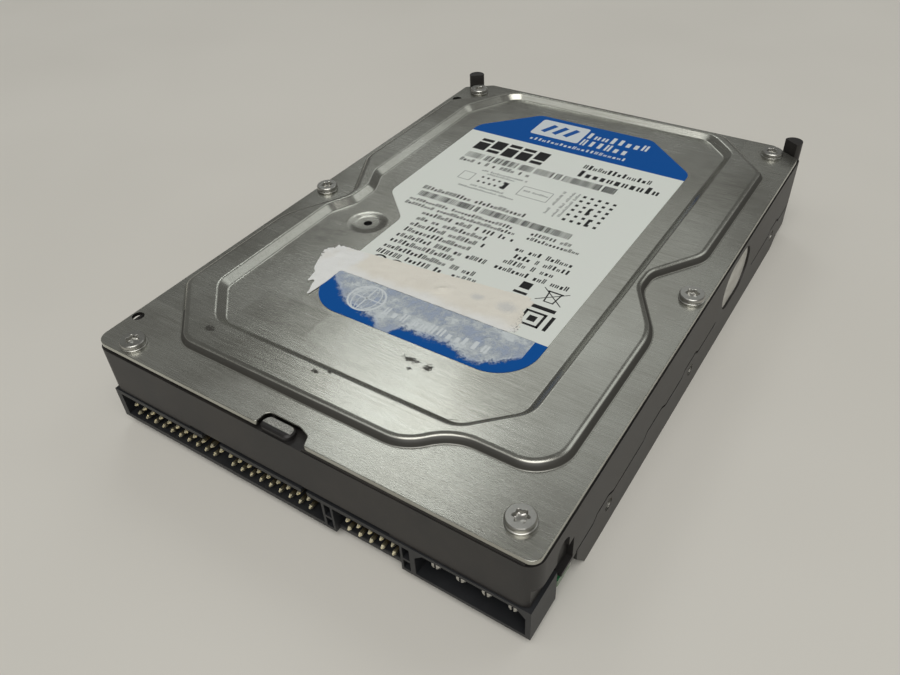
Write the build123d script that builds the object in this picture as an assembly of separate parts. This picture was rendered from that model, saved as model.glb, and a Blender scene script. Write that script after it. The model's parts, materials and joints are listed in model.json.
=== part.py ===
from build123d import *
import os
from math import acos, atan2, cos, degrees, hypot, radians, sin

# Hard disk drive of the 3.5 inch form factor with a parallel interface. Millimetres.
# +Z is up, the origin is the centre of the footprint on the bottom plane, +X is the
# side of the power socket and -Y is the connector end.

# Overall form factor
drive_width = 101.6
drive_length = 147.0
drive_height = 26.1
half_width = drive_width / 2
half_length = drive_length / 2

# Heights of the layers, from the bottom plane
cover_top = 22.8
cover_sheet = 0.8
ridge_rise = 1.5
gasket_thick = 0.8
cover_under = cover_top - cover_sheet
wall_top = cover_under - gasket_thick
floor_top = 10.4
floor_under = 8.2
board_under = 4.8
board_thick = 1.6
board_top = board_under + board_thick

# Spindle and platter
spindle_y = 22.5
platter_radius = 47.5
platter_bore = 12.5
platter_thick = 1.27
platter_under = 15.2
platter_top = platter_under + platter_thick
platter_mid = platter_under + platter_thick / 2
chamber_radius = 48.5
motor_well_radius = 16.8
hub_radius = 16.2

# Actuator
pivot_x = 18.0
pivot_y = -33.0
arm_length = 52.0
parked_track = 51.0
pivot_distance = hypot(pivot_x, spindle_y - pivot_y)
spindle_bearing = degrees(atan2(spindle_y - pivot_y, -pivot_x))
parked_turn = degrees(acos((pivot_distance ** 2 + arm_length ** 2 - parked_track ** 2)
                           / (2 * pivot_distance * arm_length)))
arm_angle = spindle_bearing + parked_turn
coil_angle = arm_angle + 180 - 15.7
magnet_angle = -50.0
coil_inner = 12.5
coil_outer = 26.3
coil_half_angle = 17.0
swing = 33.0
coil_under = 14.8
coil_top = 16.9

# Interface pins
pin_pitch = 2.54
pin_side = 0.64
first_pin_x = -45.12
pin_columns = 20
key_column = 10
jumper_x = 12.40
jumper_columns = 5
upper_row_z = 6.90
lower_row_z = 4.36
power_pin_x = 30.99
power_pitch = 5.08
power_pin_z = 6.3
power_pin_radius = 1.05
housing_front = -half_length
housing_back = -64.6
housing_under = 2.1
housing_top = 10.0

# Standard mounting holes
mount_radius = 1.4
bottom_hole_x = 47.625
bottom_hole_y = [-32.22, 12.23]
side_hole_y = [-45.0, -3.4, 56.6]
side_hole_z = 6.35
mount_depth = 6.0

# Cover screws
cover_screws_at = [(-42.4, -69.7), (44.7, -67.2), (47.6, -0.8), (-47.9, -2.6), (-44.8, 66.9), (44.2, 67.7)]
locators_at = [(-48.9, -63.2), (-48.2, 59.5)]
breather_at = (-29.0, -10.2)
board_screws_at = [(-40.0, -54.0), (40.0, -54.0), (-39.5, 3.5), (39.5, 3.5), (4.0, -36.0)]
post_at = (48.2, 71.25)
post_radius = 2.25

# Side window and its seal
window_y = 23.5
window_z = 13.75
window_long = 18.2
window_high = 11.6
window_depth = 0.6


def block(x0, x1, y0, y1, z0, z1):
    return Pos((x0 + x1) / 2, (y0 + y1) / 2, (z0 + z1) / 2) * Box(x1 - x0, y1 - y0, z1 - z0)


def rod(x, y, z0, z1, radius):
    return Pos(x, y, (z0 + z1) / 2) * Cylinder(radius, z1 - z0)


def ring(x, y, z0, z1, outer, inner):
    return rod(x, y, z0, z1, outer) - rod(x, y, z0 - 1, z1 + 1, inner)


def slab(sketch, z0, z1):
    return extrude(Pos(0, 0, z0) * sketch, amount=z1 - z0, dir=(0, 0, 1))


def outline(corners):
    points = [(x, y) for x, y, radius in corners]
    radii = [radius for x, y, radius in corners]
    return make_face(FilletPolyline(*points, radius=radii, close=True))


def polar(angle, radius, x=pivot_x, y=pivot_y):
    return (x + radius * cos(radians(angle)), y + radius * sin(radians(angle)))


def sector(angle, half_angle, inner, outer, x=pivot_x, y=pivot_y):
    """Ring segment about a point, made of two arcs and two straight sides."""
    low, high = angle - half_angle, angle + half_angle
    edges = [
        ThreePointArc(polar(low, outer, x, y), polar(angle, outer, x, y), polar(high, outer, x, y)),
        Line(polar(high, outer, x, y), polar(high, inner, x, y)),
        ThreePointArc(polar(high, inner, x, y), polar(angle, inner, x, y), polar(low, inner, x, y)),
        Line(polar(low, inner, x, y), polar(low, outer, x, y)),
    ]
    return make_face(edges)


def disc(x, y, radius):
    return Pos(x, y) * Circle(radius)


def save(shape, node):
    shape.label = node
    export_step(shape, f"parts/{node}.step")


# Outlines seen from above

def cover_outline():
    """Edge of the cover: notched at the connector end, cut off at the two far corners."""
    return outline([
        (-50.6, -72.9, 2.8), (-6.0, -72.9, 0.4), (-5.8, -69.75, 1.2), (1.8, -69.75, 2.6),
        (4.4, -70.7, 0.9), (5.3, -72.9, 0.4), (50.6, -72.9, 2.0), (50.6, 68.4, 1.5),
        (43.4, 73.3, 2.0), (-43.4, 73.3, 2.0), (-50.6, 68.4, 1.5)])


def ridge_foot():
    """Outer foot of the raised ridge, which steps inwards round the two middle screws."""
    return outline([
        (-34.0, -65.4, 7.0), (20.5, -65.4, 5.0), (27.2, -58.7, 5.0), (41.8, -58.7, 4.5),
        (46.2, -53.5, 4.5), (46.2, -16.4, 14.0), (38.5, -3.6, 6.0), (38.5, 1.6, 5.0),
        (46.1, 12.9, 8.0), (46.1, 54.8, 4.0), (31.5, 71.0, 6.0), (-33.0, 71.0, 6.0),
        (-48.9, 56.0, 5.0), (-48.9, 14.6, 8.0), (-41.2, -0.8, 4.0), (-41.2, -4.4, 4.0),
        (-48.9, -18.5, 12.0), (-48.9, -50.3, 5.0)])


def field_foot():
    """Foot of the ridge's inner wall, which bounds the flat field that holds the label."""
    return outline([
        (-31.2, -54.9, 4.0), (25.4, -54.9, 4.0), (34.0, -46.4, 4.0), (34.0, 60.4, 4.0),
        (27.0, 67.5, 4.0), (-32.0, 67.5, 5.0), (-39.4, 53.5, 4.0), (-39.4, 9.5, 5.0),
        (-36.4, 3.0, 5.0), (-36.4, -4.4, 5.0), (-39.4, -10.6, 4.0), (-39.4, -46.2, 3.0)])


def chamber_outline():
    """Inside of the casting: a round bay for the platter joined to a bay for the actuator."""
    actuator_bay = outline([
        (-33.0, -64.4, 6.0), (21.0, -64.4, 3.0), (24.5, -61.6, 3.0), (39.5, -61.6, 5.0),
        (45.8, -55.0, 5.0), (45.8, -13.5, 3.0), (41.0, -5.0, 3.0), (41.0, 10.0, 3.0),
        (-41.0, 10.0, 3.0), (-41.0, -7.0, 3.0), (-46.6, -16.0, 3.0), (-46.6, -51.0, 6.0)])
    return disc(0, spindle_y, chamber_radius) + actuator_bay


def board_outline():
    """Circuit board: ears at the connector, straight sides between the rails, round bay for the motor."""
    plan = outline([
        (-50.2, housing_back + 0.2, 0.6), (50.2, housing_back + 0.2, 0.6), (50.2, -58.8, 0.6),
        (43.9, -58.8, 1.0), (43.9, 8.0, 2.0), (-43.9, 8.0, 2.0), (-43.9, -58.8, 1.0), (-50.2, -58.8, 0.6)])
    return plan - disc(0, spindle_y, 21.5)


# Base casting

def rail(side):
    """Side rail that the drive stands on, sloped up at both ends."""
    inner, outer = (44.5, half_width) if side > 0 else (-half_width, -44.5)
    profile = Plane.YZ * make_face(Polyline(
        (-58.0, 8.6), (-58.0, 5.5), (-54.0, 0.0), (60.0, 0.0), (64.0, 2.5), (70.2, 2.5), (70.2, 8.6), close=True))
    return Pos(inner, 0, 0) * extrude(profile, amount=outer - inner, dir=(1, 0, 0))


def side_groove(side):
    """Shallow wavy groove between the wall and the rail, arched over the screw holes."""
    depth = 0.45
    low, high = 8.5, 9.7
    run = FilletPolyline(
        (-58.6, low), (-51.8, low), (-50.4, high), (-45.6, high), (-43.4, low), (-29.4, low), (-28.0, high),
        (-20.4, high), (-18.2, low), (-9.0, low), (-7.6, high), (-1.4, high), (0.6, low), (12.0, low), radius=0.6)
    far_run = FilletPolyline((38.0, low), (52.0, low), (53.4, high), (59.6, high), (61.0, low), (72.0, low), radius=0.6)
    band = Plane.YZ * (trace(run, 0.5) + trace(far_run, 0.5))
    start = half_width - depth if side > 0 else -half_width - 1
    return Pos(start, 0, 0) * extrude(band, amount=depth + 1, dir=(1, 0, 0))


def side_window():
    """Oval pocket in the right wall, with the slot that leads in to the platter behind its seal."""
    pocket_plan = Plane.YZ * Pos(window_y, window_z) * RectangleRounded(window_long, window_high, 5.6)
    slot_plan = Plane.YZ * Pos(window_y, platter_mid) * RectangleRounded(12.0, 5.0, 2.0)
    pocket = Pos(half_width - window_depth, 0, 0) * extrude(pocket_plan, amount=5, dir=(1, 0, 0))
    slot = Pos(40.0, 0, 0) * extrude(slot_plan, amount=11, dir=(1, 0, 0))
    return pocket + slot


def corner_relief(side):
    """Step and arched pocket in the wall beside the connector housing."""
    x0, x1 = (49.6, 52.0) if side > 0 else (-52.0, -49.6)
    step = block(x0, x1, -74.0, -60.0, 9.0, 14.6)
    arch_plan = Plane.YZ * (Pos(-64.0, 16.0) * Circle(2.1) + Pos(-64.0, 14.5) * Rectangle(4.2, 5.0))
    return step + Pos(x0, 0, 0) * extrude(arch_plan, amount=x1 - x0, dir=(1, 0, 0))


def motor_cup():
    """Round cup that hangs under the floor and holds the motor, with a stepped outer face."""
    cup = rod(0, spindle_y, 4.6, floor_under + 0.2, motor_well_radius + 2.4)
    return cup - ring(0, spindle_y, 4.0, 5.0, 15.5, 11.0)


def underside_ribs():
    """Ring and spokes that stiffen the floor under the platter, clear of the circuit board."""
    ribs = slab(disc(0, spindle_y, 43.6) - disc(0, spindle_y, 42.0), 6.4, floor_under + 0.2)
    for angle in range(0, 181, 30):
        spoke = Pos(0, spindle_y) * (Rot(0, 0, angle) * (Pos(31.5, 0) * Rectangle(26, 1.8)))
        ribs += slab(spoke, 6.4, floor_under + 0.2)
    return ribs - block(-60, 60, -60, 9.2, 0, 20)


def corner_post(side):
    """Post at a far corner, cut flat where the cover's corner is cut off."""
    post = rod(side * post_at[0], post_at[1], floor_under, drive_height, post_radius)
    return post - slab(offset(cover_outline(), amount=0.2), wall_top, drive_height + 1)


def make_casting():
    walls = slab(Pos(0, 0) * RectangleRounded(drive_width, 146.4, 3.0), floor_under, wall_top)
    body = walls + rail(1) + rail(-1) + motor_cup() + underside_ribs()
    body += block(-44.5, 44.5, 66.0, 70.2, 3.5, floor_under + 0.2)
    body -= slab(chamber_outline(), floor_top, wall_top + 1)
    # room for the connector housing under the connector-end wall
    body -= block(-52, 52, -74, housing_back + 0.6, 0, housing_top + 0.1)
    body -= block(-27, 22.5, -74, housing_back + 0.6, 0, housing_top + 0.6)
    # raised strip under the cover's edge, and the locating pad in the cover's notch
    body += block(4.6, 48.6, -73.0, -71.6, wall_top - 0.5, wall_top + 0.55)
    pad = slab(outline([(-6.2, -72.9, 1.2), (1.9, -72.9, 1.4), (1.4, -70.0, 1.2), (-4.9, -70.0, 1.2)]),
               wall_top - 0.5, 22.5)
    body += chamfer(pad.edges().group_by(Axis.Z)[-1], 0.35)
    # motor cup, its boss and the sleeve's bore
    body -= ring(0, spindle_y, 6.2, floor_top + 1, motor_well_radius, 5.2)
    body -= rod(0, spindle_y, 4.0, floor_top + 2, 3.6)
    # corner posts, which are the highest points of the drive
    body += corner_post(1) + corner_post(-1)
    # boss for the actuator's pivot
    body += rod(pivot_x, pivot_y, floor_top - 0.5, 12.0, 5.0)
    body -= rod(pivot_x, pivot_y, 8.9, 13.0, 1.5)
    for x, y in board_screws_at:
        body += rod(x, y, board_top + 0.5, floor_under + 0.2, 3.0)
        body -= rod(x, y, board_top, 9.8, 1.1)
    for x, y in cover_screws_at:
        body -= rod(x, y, 14.0, wall_top + 1, 1.25)
    for x, y in locators_at:
        body -= rod(x, y, 17.0, wall_top + 1, 1.2)
    body -= block(-12.2, 0.2, -58.2, -52.8, 5.0, floor_top + 1)
    for x in (-bottom_hole_x, bottom_hole_x):
        for y in bottom_hole_y:
            body -= rod(x, y, -1, mount_depth, mount_radius)
    for y in side_hole_y:
        for side in (-1, 1):
            hole = Pos(side * (half_width - mount_depth / 2), y, side_hole_z) * Rot(0, 90, 0)
            body -= hole * Cylinder(mount_radius, mount_depth)
    for x in (-47.4, 47.4):
        for y0, y1 in ((-27.0, -8.5), (17.5, 50.0)):
            body -= slab(Pos(x, (y0 + y1) / 2) * RectangleRounded(3.0, y1 - y0, 1.4), -1, 4.5)
    for side in (-1, 1):
        body -= side_groove(side)
        body -= corner_relief(side)
    body -= side_window()
    return body


# Cover and what lies on it

def make_cover():
    sheet = slab(cover_outline(), cover_under, cover_top)
    slope = 1.5
    crest = cover_top + ridge_rise
    foot, field = ridge_foot(), field_foot()
    crest_outer = offset(foot, amount=-slope)
    crest_inner = offset(field, amount=slope)
    hill = loft([Pos(0, 0, cover_top - 0.1) * foot, Pos(0, 0, crest) * crest_outer], ruled=True)
    basin = loft([Pos(0, 0, cover_top) * field, Pos(0, 0, crest + 0.01) * crest_inner], ruled=True)
    hollow = slab(offset(foot, amount=-2.1) - offset(field, amount=2.1), cover_under - 1, crest - cover_sheet)
    cover = sheet + (hill - basin) - hollow
    for x, y in cover_screws_at:
        cover -= rod(x, y, cover_under - 1, cover_top + 3, 1.35)
    for x, y in locators_at:
        cover -= rod(x, y, cover_under - 1, cover_top + 1, 1.35)
    x, y = breather_at
    cover += rod(x, y, cover_under - 0.5, cover_under + 0.1, 5.2)
    cover -= rod(x, y, cover_top - 0.5, cover_top + 1, 4.4)
    cover -= rod(x, y, cover_under - 1, cover_top + 1, 0.9)
    return cover


def make_gasket():
    inner = chamber_outline()
    return slab(offset(inner, amount=1.6) - offset(inner, amount=0.3), wall_top, cover_under)


def torx_socket(x, y, z, depth, lobe_radius):
    recess = rod(x, y, z - depth, z + 1, lobe_radius * 0.82)
    for k in range(6):
        lobe_x, lobe_y = polar(60 * k, lobe_radius * 0.78, x, y)
        recess += rod(lobe_x, lobe_y, z - depth, z + 1, lobe_radius * 0.3)
    return recess


def make_cover_screws():
    screws = []
    for x, y in cover_screws_at:
        head_top = cover_top + 1.3
        screw = rod(x, y, cover_top, cover_top + 0.3, 2.75) + rod(x, y, cover_top + 0.2, head_top, 2.6)
        screw = chamfer(screw.edges().filter_by(GeomType.CIRCLE).sort_by(Axis.Z)[-1], 0.25)
        screw += rod(x, y, 14.6, cover_top + 0.1, 1.15)
        screws.append(screw - torx_socket(x, y, head_top, 0.9, 1.5))
    return screws


def label_outline():
    return outline([
        (-22.9, -41.3, 9.0), (29.4, -41.3, 9.0), (29.4, 47.6, 4.0), (14.3, 60.8, 4.0),
        (-19.7, 60.8, 3.0), (-32.8, 47.2, 5.0), (-32.8, 4.6, 4.0), (-22.9, -4.8, 4.0)])


def torn_outline():
    return outline([
        (-28.8, -30.8, 0.8), (-22.4, -39.8, 0.4), (-21.8, -29.1, 1.0), (22.2, -29.1, 0.8),
        (20.0, -21.5, 1.0), (20.8, -18.4, 0.6), (18.9, -17.0, 0.6), (2.0, -18.6, 8.0),
        (-17.0, -20.4, 8.0), (-28.2, -21.3, 1.0), (-30.4, -25.0, 1.2)])


# Connector end

def pin_columns_at(start, columns):
    return [start + pin_pitch * k for k in range(columns)]


def make_housing():
    front, back = housing_front, housing_back
    cavity_back = back - 2.4
    body = block(-49.8, 50.3, front, back, housing_under, housing_top)
    # data socket, with its key notch and a smaller slot in the upper wall
    body -= block(-48.2, 7.0, front - 1, cavity_back, 3.2, 9.0)
    body -= block(-23.5, -18.5, front - 1, cavity_back, 8.0, housing_top + 1)
    body -= block(2.4, 3.8, front - 1, front + 3.5, 8.0, housing_top + 1)
    # cored webs on both sides of the jumper bay
    for x0, x1 in ((7.6, 9.1), (25.1, 26.6)):
        body -= block(x0, x1, front - 1, cavity_back, 5.9, 9.0)
        body -= block(x0, x1, front - 1, cavity_back, 2.9, 5.3)
    # jumper bay, open underneath
    body -= block(9.6, 24.6, front - 1, cavity_back, 1.0, 9.0)
    # power socket, with two cut corners
    socket = Plane.XZ * make_face(Polyline(
        (27.7, 2.9), (49.3, 2.9), (49.3, 7.6), (47.6, 9.3), (29.4, 9.3), (27.7, 7.6), close=True))
    body -= Pos(0, front - 1, 0) * extrude(socket, amount=cavity_back - front + 1, dir=(0, 1, 0))
    # holes that the pins stand in
    hole = pin_side + 0.02
    for x in pin_columns_at(first_pin_x, pin_columns) + pin_columns_at(jumper_x, jumper_columns):
        for z in (upper_row_z, lower_row_z):
            body -= block(x - hole / 2, x + hole / 2, cavity_back - 1, back + 1, z - hole / 2, z + hole / 2)
    for k in range(4):
        x = power_pin_x + power_pitch * k
        body -= Pos(x, back - 1.2, power_pin_z) * Rot(90, 0, 0) * Cylinder(power_pin_radius + 0.01, 2.4)
    return body


def square_pin(x, z):
    half = pin_side / 2
    pin = block(x - half, x + half, -73.2, -61.6, z - half, z + half)
    tip = pin.faces().sort_by(Axis.Y)[0]
    return chamfer(tip.edges(), 0.14)


def make_data_pins():
    pins = []
    for column, x in enumerate(pin_columns_at(first_pin_x, pin_columns)):
        pins.append(square_pin(x, upper_row_z))
        if column != key_column:
            pins.append(square_pin(x, lower_row_z))
    return pins


def make_jumper_pins():
    return [square_pin(x, z) for x in pin_columns_at(jumper_x, jumper_columns) for z in (upper_row_z, lower_row_z)]


def make_power_pins():
    """Round split pins with a flat tail that lies on the board."""
    pins = []
    for k in range(4):
        x = power_pin_x + power_pitch * k
        pin = Pos(x, (-72.2 + housing_back) / 2, power_pin_z) * Rot(90, 0, 0) * Cylinder(
            power_pin_radius, housing_back + 72.2)
        pin = chamfer(pin.edges().filter_by(GeomType.CIRCLE).sort_by(Axis.Y)[0], 0.3)
        pin -= block(x - 0.2, x + 0.2, -73, -69.5, 4, 9)
        pin += block(x - 0.8, x + 0.8, housing_back - 0.3, -61.4, board_top, board_top + 0.5)
        pins.append(pin)
    return pins


# Circuit board, under the casting

def make_board():
    board = slab(board_outline(), board_under, board_top)
    for x, y in board_screws_at:
        board -= rod(x, y, board_under - 1, board_top + 1, 1.6)
    return board


def make_insulator():
    plan = board_outline() & Pos(0, -30.0) * Rectangle(85, 52)
    sheet = slab(offset(plan, amount=-1.0), board_top, board_top + 0.4)
    for x, y in board_screws_at:
        sheet -= rod(x, y, board_top - 1, board_top + 1, 3.4)
    return sheet - block(-13.5, 1.5, -59.5, -51.5, board_top - 1, board_top + 1)


def make_board_screws():
    screws = []
    for x, y in board_screws_at:
        head_under = board_under - 1.1
        screw = rod(x, y, head_under, board_under, 2.5) + rod(x, y, board_under - 0.1, 9.4, 1.05)
        screws.append(screw - Pos(0, 0, 2 * head_under) * mirror(torx_socket(x, y, head_under, 0.7, 1.1), Plane.XY))
    return screws


def flat_package(x, y, wide, deep, high, leads_x, leads_y):
    """Moulded chip on the underside of the board, with gull-wing leads as separate solids."""
    under = board_under - 0.1 - high
    body = block(x - wide / 2, x + wide / 2, y - deep / 2, y + deep / 2, under, board_under - 0.1)
    body = chamfer(body.faces().sort_by(Axis.Z)[0].edges(), 0.2)
    leads = []
    pitch = 1.0
    for k in range(leads_x):
        at = x + pitch * (k - (leads_x - 1) / 2)
        leads.append(block(at - 0.2, at + 0.2, y + deep / 2, y + deep / 2 + 1.2, board_under - 0.3, board_under))
        leads.append(block(at - 0.2, at + 0.2, y - deep / 2 - 1.2, y - deep / 2, board_under - 0.3, board_under))
    for k in range(leads_y):
        at = y + pitch * (k - (leads_y - 1) / 2)
        leads.append(block(x + wide / 2, x + wide / 2 + 1.2, at - 0.2, at + 0.2, board_under - 0.3, board_under))
        leads.append(block(x - wide / 2 - 1.2, x - wide / 2, at - 0.2, at + 0.2, board_under - 0.3, board_under))
    return body, leads


def make_chip_leads(packages):
    leads = []
    for body, pair in packages:
        leads += pair
    return leads


def make_crystal():
    return [Pos(-30.0, -44.0, board_under - 0.7) * fillet(Box(5.0, 3.2, 1.4).edges().filter_by(Axis.Z), 0.8)]


def make_small_parts():
    """Ceramic capacitors and resistors in rows beside the chips."""
    parts = []
    for row_x, row_y, step_x, step_y, count in (
            (-24.0, -13.0, 2.6, 0.0, 8), (27.0, -24.0, 0.0, 2.4, 6), (-38.0, -38.0, 0.0, 2.4, 7),
            (10.0, -52.0, 2.6, 0.0, 8), (22.0, -40.0, 2.6, 0.0, 6), (30.0, -6.0, 2.4, 0.0, 4)):
        for k in range(count):
            x, y = row_x + step_x * k, row_y + step_y * k
            parts.append(block(x - 0.8, x + 0.8, y - 0.45, y + 0.45, board_under - 0.7, board_under))
    for x, y in ((31.0, -47.0), (36.0, -35.0)):
        parts.append(block(x - 2.2, x + 2.2, y - 1.6, y + 1.6, board_under - 2.0, board_under))
    return parts


def make_head_connector():
    """Sealed connector that carries the head signals through the floor to the board."""
    lower = block(-12.0, 0.0, -58.0, -53.0, board_top, floor_top)
    return lower + block(-13.0, 1.0, -59.0, -52.0, floor_top, floor_top + 1.2)


def make_motor_contacts():
    """Three spring strips from the motor cup to pads on the board's round edge."""
    return [block(x - 1.0, x + 1.0, -2.0, 2.9, board_top, board_top + 0.35) for x in (-3.5, 0.0, 3.5)]


# Spindle

def make_sleeve():
    return ring(0, spindle_y, 5.4, 12.8, 3.6, 2.05)


def make_hub():
    hub = rod(0, spindle_y, 13.2, platter_under, hub_radius)
    hub += rod(0, spindle_y, platter_under, 17.0, platter_bore - 0.05)
    hub += ring(0, spindle_y, 7.2, 13.3, hub_radius, hub_radius - 1.0)
    hub -= rod(0, spindle_y, 12, 18, 2.02)
    for k in range(6):
        x, y = polar(60 * k + 30, 9.0, 0, spindle_y)
        hub -= rod(x, y, 13.6, 18, 0.85)
    return hub


def make_stator():
    core = ring(0, spindle_y, 8.6, 10.6, 7.6, 5.3)
    for k in range(9):
        tooth = Pos(0, spindle_y) * (Rot(0, 0, 40 * k) * (Pos(10.1, 0) * Rectangle(5.8, 1.7)))
        shoe = sector(40 * k, 15, 12.6, 13.5, 0, spindle_y)
        core += slab(tooth + shoe, 8.6, 10.6)
    return core


def make_stator_coils():
    coils = []
    for k in range(9):
        wound = Rot(0, 0, 40 * k) * (Pos(10.1, 0, 9.6) * (Box(4.2, 3.6, 4.0) - Box(6, 1.76, 2.06)))
        coils.append(Pos(0, spindle_y, 0) * wound)
    return coils


def make_clamp():
    clamp = ring(0, spindle_y, platter_top, 17.6, 15.6, 13.2) + ring(0, spindle_y, 17.0, 17.8, 14.2, 3.2)
    for k in range(6):
        x, y = polar(60 * k + 30, 9.0, 0, spindle_y)
        clamp -= rod(x, y, 16, 19, 1.0)
    return clamp


def make_clamp_screws():
    screws = []
    for k in range(6):
        x, y = polar(60 * k + 30, 9.0, 0, spindle_y)
        screw = rod(x, y, 17.8, 18.8, 1.7) + rod(x, y, 13.8, 17.9, 0.78)
        screws.append(screw - torx_socket(x, y, 18.8, 0.6, 0.8))
    return screws


# Actuator

def make_pivot_shaft():
    shaft = rod(pivot_x, pivot_y, 9.2, 12.1, 1.45) + rod(pivot_x, pivot_y, 12.0, 12.8, 4.2)
    shaft += rod(pivot_x, pivot_y, 12.7, 20.2, 2.5)
    return shaft - torx_socket(pivot_x, pivot_y, 20.2, 1.0, 1.4)


def make_pivot_bearings():
    rings = [ring(pivot_x, pivot_y, z, z + 2.0, 4.4, 2.56) for z in (13.1, 17.3)]
    return rings + [ring(pivot_x, pivot_y, 15.15, 17.25, 4.4, 3.4)]


def arm_blade(z0, z1):
    """Tapered arm with a lightening hole, from the pivot block out to the suspension."""
    blade = make_face(Polyline((7.0, -6.0), (31.0, -3.2), (34.0, -3.2), (34.0, 3.2), (31.0, 3.2), (7.0, 6.0), close=True))
    hole = make_face(Polyline((13.0, -2.9), (26.0, -1.6), (26.0, 1.6), (13.0, 2.9), close=True))
    return slab(Pos(pivot_x, pivot_y) * (Rot(0, 0, arm_angle) * (blade - hole)), z0, z1)


def make_arm():
    block_body = rod(pivot_x, pivot_y, 13.1, 19.3, 8.2)
    for z0 in (2 * platter_mid - 18.6, 17.6):
        block_body += arm_blade(z0, z0 + 1.0)
    return block_body - rod(pivot_x, pivot_y, 12, 21, 4.42)


def coil_window(grow):
    side = degrees(grow / ((coil_inner + coil_outer) / 2))
    return sector(coil_angle, coil_half_angle + side, coil_inner - grow, coil_outer + grow)


def make_coil():
    winding = coil_window(0) - sector(coil_angle, coil_half_angle - 9.0, coil_inner + 3.4, coil_outer - 3.4)
    return slab(winding, coil_under, coil_top)


def make_coil_frame():
    """Moulded frame that grips the coil and the pivot block."""
    ring_plan = coil_window(1.1) - coil_window(0.02)
    neck = sector(coil_angle, 26.0, 8.25, coil_inner - 0.9)
    return slab(ring_plan + neck, coil_under - 0.1, coil_top + 0.1)


def suspension(up):
    """Thin steel beam from the arm's tip to the head, with a lift tab at its end."""
    base = make_face(Polyline((27.5, -2.4), (34.5, -2.4), (34.5, 2.4), (27.5, 2.4), close=True))
    beam = make_face(Polyline((34.5, -2.2), (51.0, -0.9), (55.6, -0.5), (55.6, 0.5), (51.0, 0.9), (34.5, 2.2), close=True))
    place = Pos(pivot_x, pivot_y) * Rot(0, 0, arm_angle)
    shape = slab(place * base, 17.3, 17.6) + slab(place * beam, 17.3, 17.5)
    return shape if up else Pos(0, 0, 2 * platter_mid) * mirror(shape, Plane.XY)


def head(up):
    place = Pos(pivot_x, pivot_y) * Rot(0, 0, arm_angle)
    slider = slab(place * (Pos(arm_length, 0) * Rectangle(1.2, 1.0)), platter_top + 0.35, 17.3)
    return slider if up else Pos(0, 0, 2 * platter_mid) * mirror(slider, Plane.XY)


def yoke_plan():
    """Plan of the steel plates of the coil motor, kept inside the chamber."""
    room = offset(chamber_outline(), amount=-0.7) & Pos(30.5, -40.0) * Rectangle(49.0, 70.0)
    return sector(magnet_angle, 72.0, 10.4, 34.0) & room


yoke_posts_at = [(37.6, -56.2), polar(-113, 14.6), polar(10, 15.4)]


def make_yoke(z0, z1):
    plate = slab(yoke_plan(), z0, z1)
    for x, y in yoke_posts_at:
        plate -= rod(x, y, z0 - 1, z1 + 1, 1.3)
    return plate


def make_magnet(z0, z1):
    return slab(sector(magnet_angle, 34.0, 13.0, 26.0), z0, z1)


def make_yoke_posts():
    return [ring(x, y, 12.2, 19.6, 2.1, 1.3) for x, y in yoke_posts_at]


def make_yoke_screws():
    screws = []
    for x, y in yoke_posts_at:
        screw = rod(x, y, 10.5, 21.5, 1.2)
        screws.append(screw - torx_socket(x, y, 21.5, 0.6, 0.8))
    return screws


latch_x, latch_y = polar(13.5, 25.0)


def make_latch_pin():
    return rod(latch_x, latch_y, 12.2, 19.6, 0.9)


def make_latch():
    """Small lever that swings across the coil frame's corner to hold the heads parked."""
    plan = disc(0, 0, 1.9) + outline([(-0.9, 0.5, 0.3), (-1.1, -9.6, 0.3), (0.9, -9.6, 0.3), (1.3, 0.5, 0.3)])
    plan += outline([(-1.0, 0.0, 0.3), (1.0, 0.0, 0.3), (0.6, 4.6, 0.3), (-1.8, 4.6, 0.3)])
    return slab(Pos(latch_x, latch_y) * (plan - Circle(0.95)), 15.0, 16.8)


def make_crash_stops():
    """Rubber sleeves that the coil frame meets at the two ends of its swing."""
    reach = coil_half_angle + 9.6
    places = [polar(coil_angle - swing - reach, 20.0), polar(coil_angle + reach, 20.0)]
    return [ring(x, y, 14.3, 17.5, 1.8, 0.8) for x, y in places]


def make_ramp():
    """Plastic ramp at the platter's edge that the lift tabs climb when the heads park."""
    body = slab(sector(arm_angle + 1.0, 6.5, 56.4, 61.5), floor_top, 18.2)
    body += slab(sector(arm_angle, 3.6, 53.2, 56.5), platter_mid - 0.9, platter_mid + 0.9)
    body -= rod(0, spindle_y, floor_top - 1, 20, platter_radius + 0.7)
    x, y = polar(arm_angle + 4.0, 59.0)
    return body - rod(x, y, floor_top - 1, 20, 0.9)


def make_filter():
    plan = Pos(-41.0, -34.5) * (Rot(0, 0, 12) * Rectangle(4.0, 13.0))
    return slab(plan, floor_top, 20.5)


def make_flex_bracket():
    return block(-15.0, 3.0, -61.0, -51.0, floor_top + 1.2, 13.2) + block(-1.0, 3.0, -57.0, -51.0, 13.1, 17.6)


def make_flex_cable():
    """Flat cable that loops from the bracket to the side of the pivot block."""
    start = (3.2, -53.0)
    end = polar(208.0, 8.7)
    path = ThreePointArc(start, (7.0, -44.0), end)
    return slab(trace(path, 0.25), 13.6, 17.4)


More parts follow.
